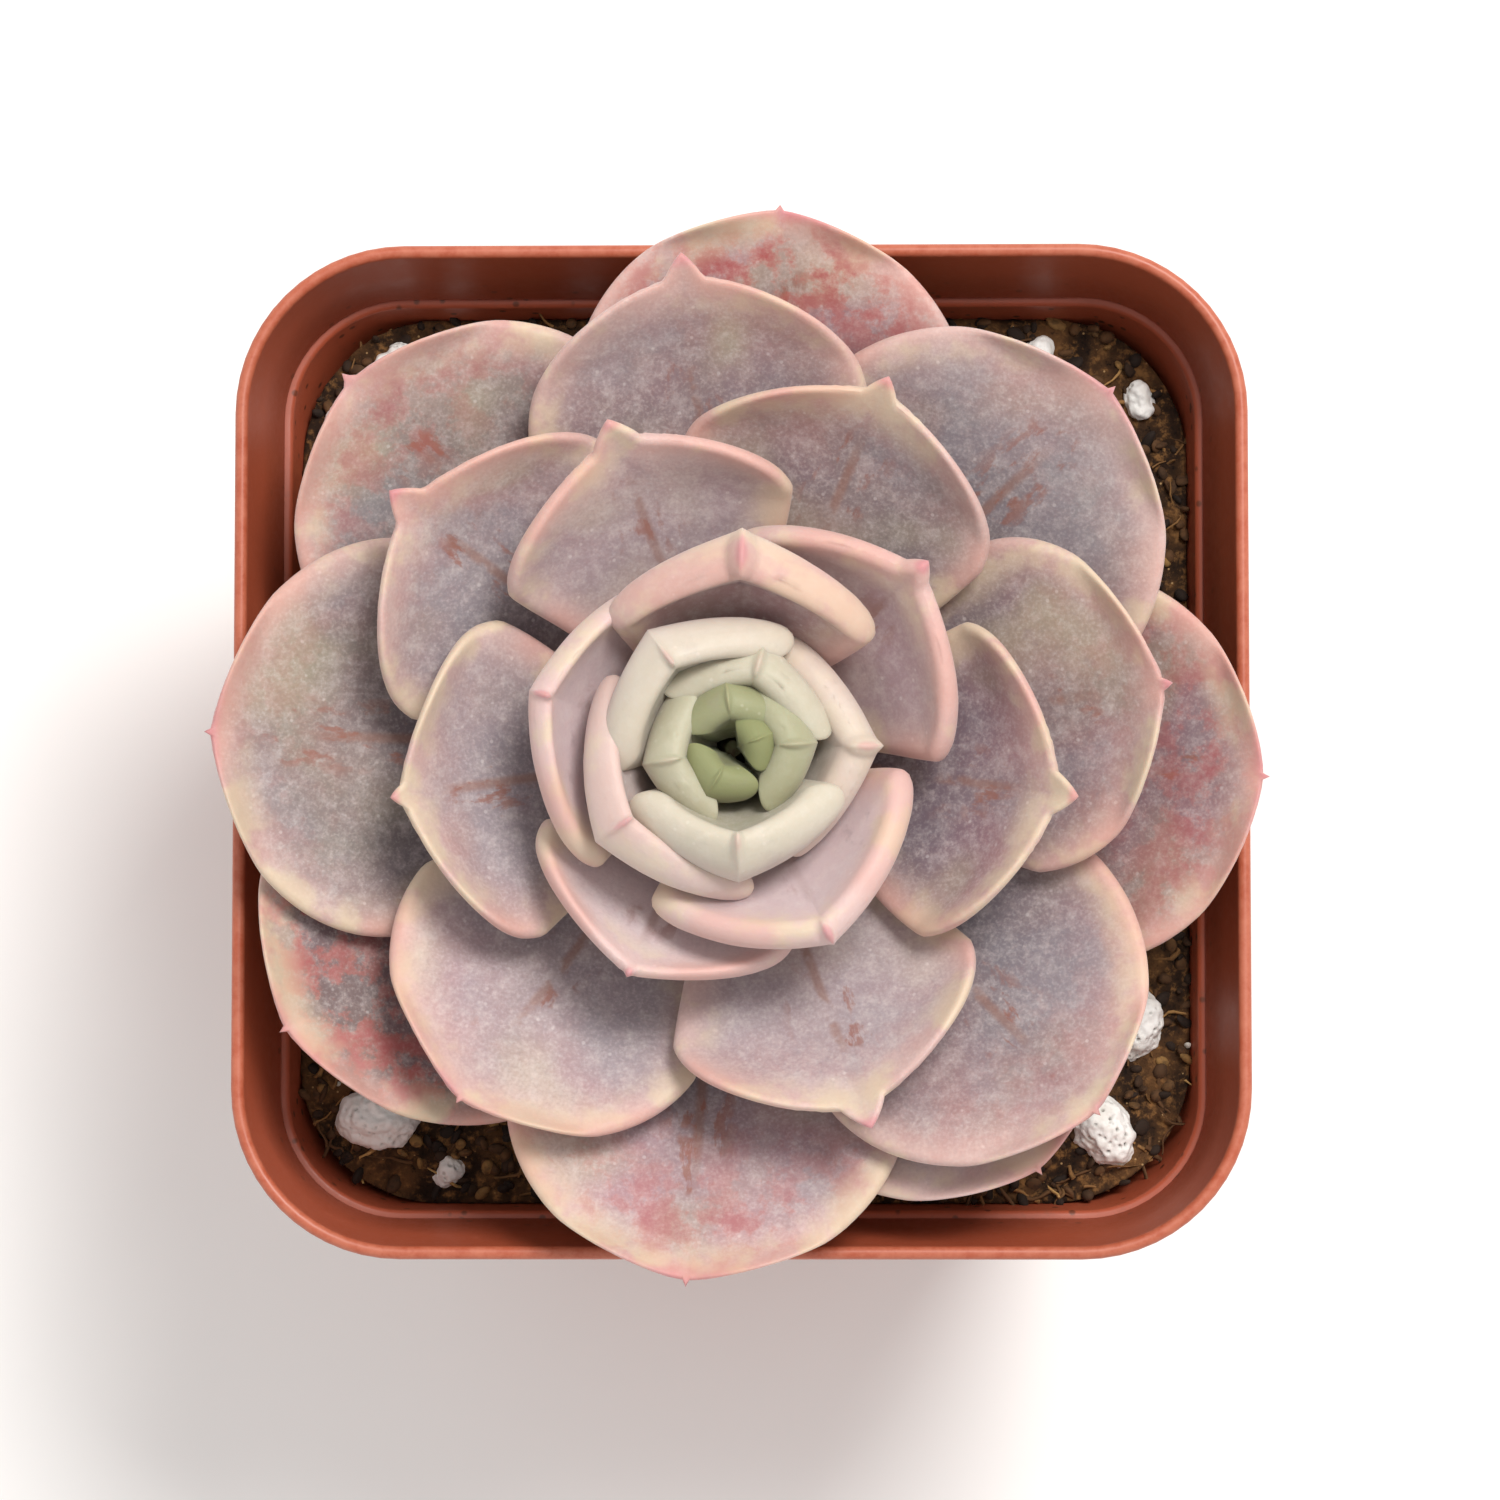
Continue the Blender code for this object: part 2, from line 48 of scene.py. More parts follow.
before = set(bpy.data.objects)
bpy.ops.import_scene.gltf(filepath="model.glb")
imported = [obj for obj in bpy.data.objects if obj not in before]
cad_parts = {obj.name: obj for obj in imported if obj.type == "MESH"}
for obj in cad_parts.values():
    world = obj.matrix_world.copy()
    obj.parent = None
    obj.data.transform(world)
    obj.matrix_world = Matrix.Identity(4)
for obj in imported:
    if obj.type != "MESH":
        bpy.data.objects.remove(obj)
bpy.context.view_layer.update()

MM = 0.001
POT_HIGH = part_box("pot")[1]
STEM_LOW, STEM_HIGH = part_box("stem")

# The pot, as its CAD node has it
RIM_Z = POT_HIGH.z
LIP_HALF = POT_HIGH.x
BASE_HALF = 23.0 * MM
WALL = 1.0 * MM
FLOOR_THICK = 1.2 * MM
COLLAR_Z = RIM_Z - 8.0 * MM
COLLAR_STEP = 1.0 * MM
COLLAR_FLARE = 1.1 * MM
LIP_CORNER, BASE_CORNER = 10.6 * MM, 7.5 * MM
DRAIN_RADIUS, DRAIN_SPACING = 2.5 * MM, 19.0 * MM

# The soil
SOIL_Z = RIM_Z - 9.6 * MM
SOIL_BUMPS = 0.9 * MM
SOIL_GAP = 0.05 * MM  # between the soil and the wall it lies against
SOIL_CELLS = 170  # of the surface's grid, along each side

# The chunks of pumice that are pitted all over. The others are nearly smooth.
PITTED = 4, 6, 7

# The stem and the rosette on it
CLEARANCE = 0.35 * MM
CROWN_X, CROWN_Y = -0.8 * MM, 0.4 * MM
LEAN_X, LEAN_Y = 0.035, -0.065
STEM_RADIUS, STEM_TIP_RADIUS = 3.3 * MM, 0.5 * MM
LEVEL_STEP = 0.5 * MM
ROSETTE_RADIUS, ROSETTE_RISE = 36.0 * MM, 29.5 * MM
# The stem's top is where the last level's foot lies.
LEVEL_COUNT = 33
# A leaf's skin is a grid. Its columns here go from an edge to the rib.
LEAF_ROWS, LEAF_COLUMNS = 84, 15
EDGE_WANDER = 0.07  # of a leaf's half-width
GREATEST_HALF_ANGLE = math.radians(66)  # that a leaf takes up around the stem
FOLD = math.radians(34)  # that a folded leaf's sides slope inwards from its middle
# In the heart the leaves' tips curl inwards: by how much, between which shares of the rosette's
# height, and between which shares of its radius, the outer one first
CURL = 0.42
CURL_HEIGHTS = 0.68, 0.97
CURL_RADII = 0.47, 0.25
# The youngest leaves close over the axis in the same way.
CLOSING = 0.85
CLOSING_RADII = 0.11, 0.017
CROWN_Z = STEM_HIGH.z - LEVEL_STEP * (LEVEL_COUNT + 1)

# Some levels of the rosette, from the lowest: number, reach and height as shares of the rosette's,
# and slopes in degrees where it leaves the stem and where it ends
LEVELS = np.array(
    (
        (1, 1.000, 0.375, 5, 12),
        (5, 0.985, 0.430, 8, 17),
        (8, 0.960, 0.490, 11, 22),
        (10, 0.905, 0.540, 13, 26),
        (13, 0.815, 0.625, 16, 34),
        (16, 0.735, 0.715, 19, 43),
        (18, 0.665, 0.775, 22, 50),
        (20, 0.520, 0.845, 27, 58),
        (23, 0.390, 0.920, 35, 76),
        (25, 0.275, 0.965, 44, 94),
        (28, 0.170, 0.985, 58, 108),
        (33, 0.025, 0.900, 80, 112),
    )
)

# Each leaf from the lowest to the heart: direction in degrees, reach and half-width in
# millimetres, levels that its tip leans inwards, and millimetres that its point stands out; then
# how pink and how blotched its skin is, from 0 to 1, and how pale, from -1 for dark. Below 0 the
# darkness is partly the skin's own colour and partly painted shade on leaves that lie in shadow;
# above 0 the paleness is partly young waxy skin and partly painted highlight on lit leaves.
Leaf = namedtuple("Leaf", "direction reach half_width lean point pink blotched pale")
LEAVES = [
    Leaf(*row)
    for row in (
        (306, 32.4, 11.4, 0.0, 0.5, 0.30, 0.1, 0.60),
        (85, 34.0, 13.0, 0.3, 0.4, 0.80, 1.0, 0.15),
        (212, 32.9, 13.2, 0.0, 0.5, 0.50, 1.0, -0.80),
        (357, 33.0, 13.0, 0.3, 0.5, 1.00, 0.6, -0.45),
        (136, 33.6, 12.8, 0.0, 0.8, 0.15, 0.5, -0.15),
        (265, 32.8, 12.8, 0.3, 0.5, 0.90, 0.6, 0.25),
        (43.5, 32.4, 13.2, -0.3, 0.6, 0.45, 0.1, 0.15),
        (178, 32.4, 12.8, 0.0, 0.6, 0.15, 0.2, -0.30),
        (315, 31.4, 11.8, 0.3, 0.5, 0.60, 0.2, 0.15),
        (96, 30.9, 10.8, 0.0, 2.0, 0.60, 0.1, 0.10),
        (232, 27.2, 11.2, 0.0, 0.5, 0.70, 0.1, 0.35),
        (8.5, 27.2, 11.0, 0.2, 0.9, 0.55, 0.2, -0.25),
        (143, 26.6, 10.8, 0.0, 2.2, 0.45, 0.2, 0.25),
        (290, 24.7, 10.2, 0.0, 2.4, 0.65, 0.2, 0.45),
        (67.4, 24.9, 10.6, -0.2, 1.8, 0.45, 0.2, -0.10),
        (188, 21.2, 10.4, 0.3, 1.4, 0.60, 0.1, 0.30),
        (352, 21.4, 10.4, 0.0, 2.2, 1.00, 0.1, -0.20),
        (111, 21.9, 9.8, 0.0, 2.6, 0.65, 0.1, 0.40),
        (245, 15.2, 9.6, 0.6, 0.8, 0.75, 0.0, 0.90),
        (44, 16.4, 10.4, 0.0, 1.8, 1.00, 0.0, 0.40),
        (164, 12.4, 11.0, 1.7, 0.8, 0.85, 0.0, 0.90),
        (297, 13.0, 10.0, 0.3, 1.0, 0.85, 0.0, 0.90),
        (88, 13.4, 9.2, 0.0, 1.8, 0.55, 0.0, 0.05),
        (214, 9.0, 9.6, 1.3, 0.8, 0.75, 0.0, 0.80),
        (1, 7.8, 8.8, 0.3, 1.4, 0.35, 0.0, 0.75),
        (126, 8.2, 8.2, 0.3, 0.8, 0.35, 0.0, 0.70),
        (272, 7.4, 7.6, 0.2, 1.2, 0.10, 0.0, 0.40),
        (74, 5.8, 6.8, 0.3, 0.9, 0.00, 0.0, 0.05),
        (190, 3.9, 5.8, 1.0, 0.8, 0.00, 0.0, 0.30),
        (4, 3.3, 5.2, 0.3, 0.8, 0.00, 0.0, 0.10),
        (97, 2.7, 4.2, 0.2, 0.6, 0.00, 0.0, 0.35),
        (240, 1.5, 3.2, 0.3, 0.5, 0.00, 0.0, 0.20),
        (22, 1.0, 2.6, 0.0, 0.4, 0.00, 0.0, 0.10),
    )
]

BODY = "root"

# The stage
FLOOR_HALF = 1.5
WINDOW_PLACE, WINDOW_SIZE = (0.24, 0.32, 0.76), 0.26
SENSOR_MM = 36.0


# ---------------------------------------------------------------- small helpers


def linear(code):
    """An sRGB hex colour as linear red, green, blue and alpha."""
    parts = [int(code[i : i + 2], 16) / 255 for i in (1, 3, 5)]
    return (*(c / 12.92 if c < 0.04045 else ((c + 0.055) / 1.055) ** 2.4 for c in parts), 1.0)


def node(tree, kind, inputs=None, **settings):
    """Adds a node. An input is a socket to link from or a value, under the input's name or number."""
    made = tree.nodes.new(kind)
    for name, value in settings.items():
        setattr(made, name, value)
    for key, value in (inputs or {}).items():
        if isinstance(value, bpy.types.NodeSocket):
            tree.links.new(value, made.inputs[key])
        else:
            made.inputs[key].default_value = value
    return made


def new_material(name):
    """An empty material and its tree."""
    material = bpy.data.materials.new(name)
    material.use_nodes = True
    material.node_tree.nodes.clear()
    return material, material.node_tree


def finish_material(tree, colour, roughness, bumps=(), **others):
    """Ends a tree in its shader.

    A bump is a height, a strength and a depth in millimetres. The others are inputs of the shader,
    with _ for a space.
    """
    given = {name.replace("_", " "): value for name, value in others.items()}
    normal = {}
    for height, strength, depth in bumps:
        inputs = {"Height": height, "Strength": strength, "Distance": depth * MM, **normal}
        normal = {"Normal": node(tree, "ShaderNodeBump", inputs).outputs["Normal"]}
    given |= {"Base Color": colour, "Roughness": roughness, **normal}
    shader = node(tree, "ShaderNodeBsdfPrincipled", given)
    node(tree, "ShaderNodeOutputMaterial", {"Surface": shader.outputs["BSDF"]})


def millimetres(tree):
    """The piece's own coordinates in millimetres, so that a noise's scale is one over its grain."""
    place = node(tree, "ShaderNodeTexCoord")
    scaled = node(
        tree, "ShaderNodeVectorMath", {0: place.outputs["Object"], 3: 1000.0}, operation="SCALE"
    )
    return scaled.outputs[0]


def layered(tree, colour, layers):
    """A colour with others laid over it.

    A layer is a colour, its greatest share, and what lessens it: values, each with where its
    smooth step starts and where it is full. A value without a step counts as it is.
    """
    for over, share, *steps in layers:
        for value, *limits in steps:
            if limits:
                low, high = limits
                stepped = node(
                    tree,
                    "ShaderNodeMapRange",
                    {"Value": value, "From Min": low, "From Max": high},
                    interpolation_type="SMOOTHSTEP",
                )
                value = stepped.outputs["Result"]
            lessened = node(tree, "ShaderNodeMath", {0: share, 1: value}, operation="MULTIPLY")
            share = lessened.outputs[0]
        mixed = node(
            tree, "ShaderNodeMix", {0: share, 6: colour, 7: linear(over)}, data_type="RGBA"
        )
        colour = mixed.outputs[2]
    return colour


def new_object(name, points, faces, material, smooth=True):
    """A linked mesh object from points and faces."""
    mesh = bpy.data.meshes.new(name)
    mesh.from_pydata([tuple(p) for p in points], [], faces)
    mesh.validate()
    if smooth:
        mesh.shade_smooth()
    mesh.materials.append(material)
    obj = bpy.data.objects.new(name, mesh)
    bpy.context.scene.collection.objects.link(obj)
    return obj


def finish_piece(obj, slot, *nodes):
    """Fixes a finished piece to the plant's one body, and hides the CAD nodes it stands in for. The slot
    it is given is not used.
    """
    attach(obj, BODY)
    if nodes:
        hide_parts(*nodes)


def mesh_from(obj, name, material=None):
    """A plain mesh object of what the object's modifiers make, which then goes."""
    graph = bpy.context.evaluated_depsgraph_get()
    mesh = bpy.data.meshes.new_from_object(obj.evaluated_get(graph), depsgraph=graph)
    mesh.name = name
    if material and not mesh.materials:
        mesh.materials.append(material)
    made = bpy.data.objects.new(name, mesh)
    bpy.context.scene.collection.objects.link(made)
    bpy.data.objects.remove(obj)
    return made


def tube_faces(rings, around):
    """Quads between rings of points, each as long as around, and a face over each end."""
    faces = []
    for row in range(rings - 1):
        for i in range(around):
            j = (i + 1) % around
            a, b = row * around, (row + 1) * around
            faces.append((a + i, a + j, b + j, b + i))
    last = (rings - 1) * around
    return [*faces, tuple(reversed(range(around))), tuple(range(last, last + around))]


# ---------------------------------------------------------------- pot


def wall_half(z):
    """Outer half-width of the pot's wall below the collar."""
    top = LIP_HALF - COLLAR_FLARE - COLLAR_STEP
    return BASE_HALF + (top - BASE_HALF) * z / COLLAR_Z


def inner_half(z):
    """Inner half-width of the pot below the collar."""
    return wall_half(z) - WALL


def corner_at(z, half):
    """Corner radius of an outline at a height, smaller as it lies further inside the pot's."""
    outside = wall_half(z) if z < COLLAR_Z else LIP_HALF
    return max(BASE_CORNER + (LIP_CORNER - BASE_CORNER) * z / RIM_Z - (outside - half), 2 * MM)


def rounded_square(half, corner, z, corner_steps, side_steps):
    """Points of a square with round corners, anticlockwise from the middle of the right side."""
    points = []
    for quarter in range(4):
        turn = quarter * math.pi / 2
        side = Vector((math.cos(turn), math.sin(turn)))
        up = Vector((-side.y, side.x))
        straight = half - corner
        for step in range(-side_steps, side_steps):
            points.append(side * half + up * straight * step / side_steps)
        centre = (side + up) * straight
        for step in range(corner_steps):
            angle = turn + step / corner_steps * math.pi / 2
            points.append(centre + Vector((math.cos(angle), math.sin(angle))) * corner)
    return [Vector((p.x, p.y, z)) for p in points]


def arc(centre_x, centre_z, radius, start, end, steps):
    """Points on part of a circle in the pot's profile, from one angle in degrees to another."""
    angles = [math.radians(start + (end - start) * i / steps) for i in range(steps + 1)]
    return [(centre_x + radius * math.cos(a), centre_z + radius * math.sin(a)) for a in angles]


def pot_profile():
    """Half-width and height, from the base's edge up the outside, over the lip and down inside."""
    lip_round = 0.42 * MM
    foot_round = 0.8 * MM
    collar_foot = LIP_HALF - COLLAR_FLARE
    ledge = COLLAR_Z + WALL
    profile = arc(BASE_HALF - foot_round, foot_round, foot_round, -90, -6, 5)
    profile += [(wall_half(z), z) for z in (6 * MM, 20 * MM, 34 * MM, COLLAR_Z - 1.2 * MM)]
    # The collar stands out over a small fillet.
    profile += arc(wall_half(COLLAR_Z) + 0.45 * MM, COLLAR_Z - 0.45 * MM, 0.45 * MM, 180, 100, 3)
    profile += arc(collar_foot - 0.3 * MM, COLLAR_Z + 0.3 * MM, 0.3 * MM, -90, 0, 3)
    profile += [(collar_foot + 0.4 * COLLAR_FLARE, COLLAR_Z + 3.2 * MM)]
    profile += arc(LIP_HALF - lip_round, RIM_Z - lip_round, lip_round, -5, 185, 8)
    profile += [(LIP_HALF - 1.15 * MM - 0.3 * COLLAR_FLARE, COLLAR_Z + 5.0 * MM)]
    profile += arc(collar_foot - WALL, ledge + 0.35 * MM, 0.35 * MM, 180, 250, 3)
    profile += arc(inner_half(ledge) + 0.3 * MM, ledge - 0.3 * MM, 0.3 * MM, 90, 178, 3)
    profile += [(inner_half(z), z) for z in (34 * MM, 18 * MM, 4 * MM)]
    profile += [(inner_half(FLOOR_THICK) - 1.2 * MM, FLOOR_THICK)]
    return profile


def plastic_material(settings):
    """Injection-moulded polypropylene in a terracotta colour.

    It is satin, with faint flow clouds and a fine moulded grain. The inside near the soil holds
    dust and splashes of it, and the thin lip is paler, partly scuffed and partly a painted
    highlight where light falls on its round top.
    """
    material, tree = new_material("terracotta_polypropylene")
    place = millimetres(tree)
    height = node(tree, "ShaderNodeSeparateXYZ", {0: place}).outputs["Z"]
    clouds, grain, scuffs = (
        node(
            tree,
            "ShaderNodeTexNoise",
            {"Vector": place, "Scale": 1 / size, "Detail": detail, "Roughness": rough},
        ).outputs["Fac"]
        for size, detail, rough in ((14, 3.0, 0.5), (0.35, 3.0, 0.5), (1.1, 5.0, 0.75))
    )
    specks = node(tree, "ShaderNodeTexVoronoi", {"Vector": place, "Scale": 1 / 1.4})
    inner = node(tree, "ShaderNodeAttribute", attribute_name="inner").outputs["Fac"]
    low = (height, (COLLAR_Z + 5 * MM) / MM, (SOIL_Z + 1 * MM) / MM)
    lip = (height, RIM_Z / MM - 0.55, RIM_Z / MM - 0.05)
    colour = layered(
        tree,
        linear(settings.colour_code),
        (
            ("#8f4430", 0.45, (clouds,)),
            ("#c97a60", 0.25, (scuffs, 0.56, 0.74)),
            ("#6b3a28", 0.35, (scuffs, 0.52, 0.72), low, (inner,)),
            ("#3b2717", 0.8, (specks.outputs["Distance"], 0.20, 0.10), low, (inner,)),
            # The paler lip: partly scuffs and partly a painted highlight on its round top.
            ("#cf8368", 0.35, (scuffs, 0.30, 0.62), lip),
        ),
    )
    roughness = node(
        tree,
        "ShaderNodeMapRange",
        {"Value": scuffs, "From Min": 0.3, "From Max": 0.7, "To Min": 0.34, "To Max": 0.50},
    )
    bumps = ((grain, 0.12, 0.02),)
    finish_material(tree, colour, roughness.outputs["Result"], bumps, IOR=1.49)
    return material


def build_pot(settings):
    """The pot from its profile, with four drain holes cut through its floor."""
    profile = pot_profile()
    corner_steps, side_steps = 14, 6
    points = []
    for half, z in profile:
        points += rounded_square(half, corner_at(z, half), z, corner_steps, side_steps)
    faces = tube_faces(len(profile), len(points) // len(profile))
    pot = new_object("nursery_pot", points, faces, plastic_material(settings))
    cutters = []
    out = DRAIN_SPACING / math.sqrt(2)
    for i in range(4):
        turn = math.pi / 4 + i * math.pi / 2
        spot = (out * math.cos(turn), out * math.sin(turn), 0)
        bpy.ops.mesh.primitive_cylinder_add(
            vertices=40, radius=DRAIN_RADIUS, depth=6 * WALL, location=spot
        )
        cutter = bpy.context.object
        cutters.append(cutter)
        modifier = pot.modifiers.new("drain_hole", "BOOLEAN")
        modifier.object = cutter
        modifier.solver = "EXACT"
    made = mesh_from(pot, "nursery_pot")
    for cutter in cutters:
        bpy.data.objects.remove(cutter)
    made.data.shade_smooth()
    made.data.set_sharp_from_angle(angle=math.radians(50))
    # 1 on the inner wall and its ledge and 0 outside, for the dirt that only the inside has
    inner = made.data.attributes.new("inner", "FLOAT", "POINT")
    for vertex, depth in zip(made.data.vertices, inner.data):
        outwards = vertex.co.to_2d().normalized().dot(vertex.normal.to_2d())
        depth.value = min(max(1 - 2 * outwards, 0.0), 1.0)
    finish_piece(made, "terracotta_plastic", "pot")


# ---------------------------------------------------------------- soil


def soil_height(x, y):
    """The broad lumps of the surface, as the CAD node has them."""
    spot = Vector((x, y, 0.0)) / (6.5 * MM)
    fine = Vector((x, y, 4 * MM)) / (2.6 * MM)
    return SOIL_Z + SOIL_BUMPS * (0.6 * noise.noise(spot) + 0.3 * noise.noise(fine))


def crumbly_height(x, y):
    """The lumps with crumbs of peat on them, a few tenths of a millimetre to a millimetre."""
    spot = Vector((x, y, 0.0)) / MM
    crumbs = noise.voronoi(spot / 1.7)[0]
    clods = noise.voronoi(spot / 4.1)[0]
    rise = 0.55 * (0.6 - crumbs[0]) + 0.9 * (0.5 - clods[0])
    rise += 0.28 * noise.noise(spot * 2.3) + 0.16 * noise.noise(spot * 4.7)
    return soil_height(x, y) + rise * 0.75 * MM


def into_soil_outline(x, y, half, corner):
    """The point, or the nearest one on the soil's round-cornered edge, and whether it lay inside."""
    straight = half - corner
    out = Vector((max(abs(x) - straight, 0.0), max(abs(y) - straight, 0.0)))
    if out.x > 0 and out.y > 0 and out.length > corner:
        out *= corner / out.length
        return math.copysign(straight + out.x, x), math.copysign(straight + out.y, y), False
    return x, y, True


def soil_material():
    """Damp peat and coir compost: dark, matt and crumbly, with paler dry crumbs on top."""
    material, tree = new_material("peat_and_coir")
    place = millimetres(tree)
    clods, crumbs = (
        node(
            tree,
            "ShaderNodeTexNoise",
            {"Vector": place, "Scale": 1 / size, "Detail": detail, "Roughness": rough},
        ).outputs["Fac"]
        for size, detail, rough in ((3.2, 4.0, 0.5), (0.7, 6.0, 0.7))
    )
    grit = node(tree, "ShaderNodeTexVoronoi", {"Vector": place, "Scale": 1 / 0.9})
    colour = layered(
        tree,
        linear("#2b1c12"),
        (
            ("#634428", 1.0, (clods, 0.40, 0.68)),
            ("#876038", 1.0, (crumbs, 0.48, 0.70)),
            ("#150c08", 1.0, (crumbs, 0.44, 0.30)),
            ("#b08e62", 1.0, (grit.outputs["Distance"], 0.10, 0.05)),
        ),
    )
    finish_material(tree, colour, 0.93, ((crumbs, 0.7, 0.25),), Specular_IOR_Level=0.25)
    return material


def litter_material(name, dark, light, pale):
    """Bits of dry plant fibre or crumb, each bit of its own shade."""
    material, tree = new_material(name)
    tone = node(tree, "ShaderNodeAttribute", attribute_name="tone").outputs["Fac"]
    fibres = node(
        tree, "ShaderNodeTexNoise", {"Vector": millimetres(tree), "Scale": 1 / 0.4, "Detail": 3.0}
    ).outputs["Fac"]
    colour = layered(
        tree,
        linear(dark),
        (
            (light, 1.0, (tone, 0.15, 0.85)),
            (pale, 1.0, (tone, 0.86, 0.98)),
            (dark, 0.5, (fibres, 0.45, 0.7)),
        ),
    )
    finish_material(tree, colour, 0.88, ((fibres, 0.5, 0.06),))
    return material


def litter_tree(name, shape):
    """A Geometry Nodes tree that strews small bits over a surface.

    shape is "crumb", "fibre" or "grain". The bits are realised, each bit keeps a random tone, and
    a slow noise bends them so that no two are alike.
    """
    tree = bpy.data.node_groups.new(name, "GeometryNodeTree")
    tree.interface.new_socket("Geometry", in_out="INPUT", socket_type="NodeSocketGeometry")
    for socket, kind in (
        ("Density", "NodeSocketFloat"),
        ("Size", "NodeSocketFloat"),
        ("Bend", "NodeSocketFloat"),
        ("Seed", "NodeSocketInt"),
        ("Material", "NodeSocketMaterial"),
    ):
        tree.interface.new_socket(socket, in_out="INPUT", socket_type=kind)
    tree.interface.new_socket("Geometry", in_out="OUTPUT", socket_type="NodeSocketGeometry")
    given = node(tree, "NodeGroupInput").outputs
    scatter = node(
        tree,
        "GeometryNodeDistributePointsOnFaces",
        {"Mesh": given["Geometry"], "Density": given["Density"], "Seed": given["Seed"]},
    )
    if shape == "fibre":
        line = node(
            tree, "GeometryNodeCurvePrimitiveLine", {"Start": (-0.5, 0, 0), "End": (0.5, 0, 0)}
        )
        bendy = node(tree, "GeometryNodeResampleCurve", {"Curve": line.outputs[0], "Count": 8})
        thread = node(tree, "GeometryNodeCurvePrimitiveCircle", {"Resolution": 4, "Radius": 0.028})
        bit = node(
            tree,
            "GeometryNodeCurveToMesh",
            {"Curve": bendy.outputs[0], "Profile Curve": thread.outputs[0], "Fill Caps": True},
        )
        tilt, least, most = 0.5, (0.35, 0.6, 0.6), (1.0, 1.5, 1.5)
    else:
        bit = node(tree, "GeometryNodeMeshIcoSphere", {"Radius": 0.5, "Subdivisions": 2})
        tilt, least, most = 3.1, (0.25, 0.25, 0.25), (1.0, 0.75, 0.6)
    turn = node(
        tree,
        "FunctionNodeRandomValue",
        {0: (-tilt, -tilt, -3.2), 1: (tilt, tilt, 3.2), 8: 3},
        data_type="FLOAT_VECTOR",
    )
    scale = node(
        tree, "FunctionNodeRandomValue", {0: least, 1: most, 8: 5}, data_type="FLOAT_VECTOR"
    )
    sized = node(
        tree,
        "ShaderNodeVectorMath",
        {0: scale.outputs[0], 3: given["Size"]},
        operation="SCALE",
    )
    placed = node(
        tree,
        "GeometryNodeInstanceOnPoints",
        {
            "Points": scatter.outputs["Points"],
            "Instance": bit.outputs[0],
            "Rotation": turn.outputs[0],
            "Scale": sized.outputs[0],
        },
    )
    tone = node(tree, "FunctionNodeRandomValue", {2: 0.0, 3: 1.0, 8: 7}, data_type="FLOAT")
    toned = node(
        tree,
        "GeometryNodeStoreNamedAttribute",
        {"Geometry": placed.outputs[0], "Name": "tone", "Value": tone.outputs[1]},
        data_type="FLOAT",
        domain="INSTANCE",
    )
    real = node(tree, "GeometryNodeRealizeInstances", {0: toned.outputs[0]})
    waves = node(
        tree,
        "ShaderNodeTexNoise",
        {"Vector": node(tree, "GeometryNodeInputPosition").outputs[0], "Scale": 450.0, "Detail": 1.0},
    )
    centred = node(
        tree,
        "ShaderNodeVectorMath",
        {0: waves.outputs["Color"], 1: (0.5, 0.5, 0.5)},
        operation="SUBTRACT",
    )
    sway = node(
        tree,
        "ShaderNodeVectorMath",
        {0: centred.outputs[0], 3: given["Bend"]},
        operation="SCALE",
    )
    bent = node(
        tree, "GeometryNodeSetPosition", {"Geometry": real.outputs[0], "Offset": sway.outputs[0]}
    )
    coloured = node(
        tree,
        "GeometryNodeSetMaterial",
        {"Geometry": bent.outputs[0], "Material": given["Material"]},
    )
    node(tree, "NodeGroupOutput", {"Geometry": coloured.outputs[0]})
    return tree


def strew(ground, name, shape, density, size, bend, seed, material):
    """Bits strewn over a copy of the ground, as one plain piece."""
    base = bpy.data.objects.new(name, ground.data.copy())
    bpy.context.scene.collection.objects.link(base)
    tree = litter_tree(name + "_nodes", shape)
    modifier = base.modifiers.new("strew", "NODES")
    modifier.node_group = tree
    inputs = {s.name: s.identifier for s in tree.interface.items_tree if s.in_out == "INPUT"}
    values = {"Density": density, "Size": size, "Bend": bend, "Seed": seed, "Material": material}
    for key, value in values.items():
        modifier[inputs[key]] = value
    made = mesh_from(base, name, material)
    made.data.shade_smooth()
    finish_piece(made, "potting_soil")


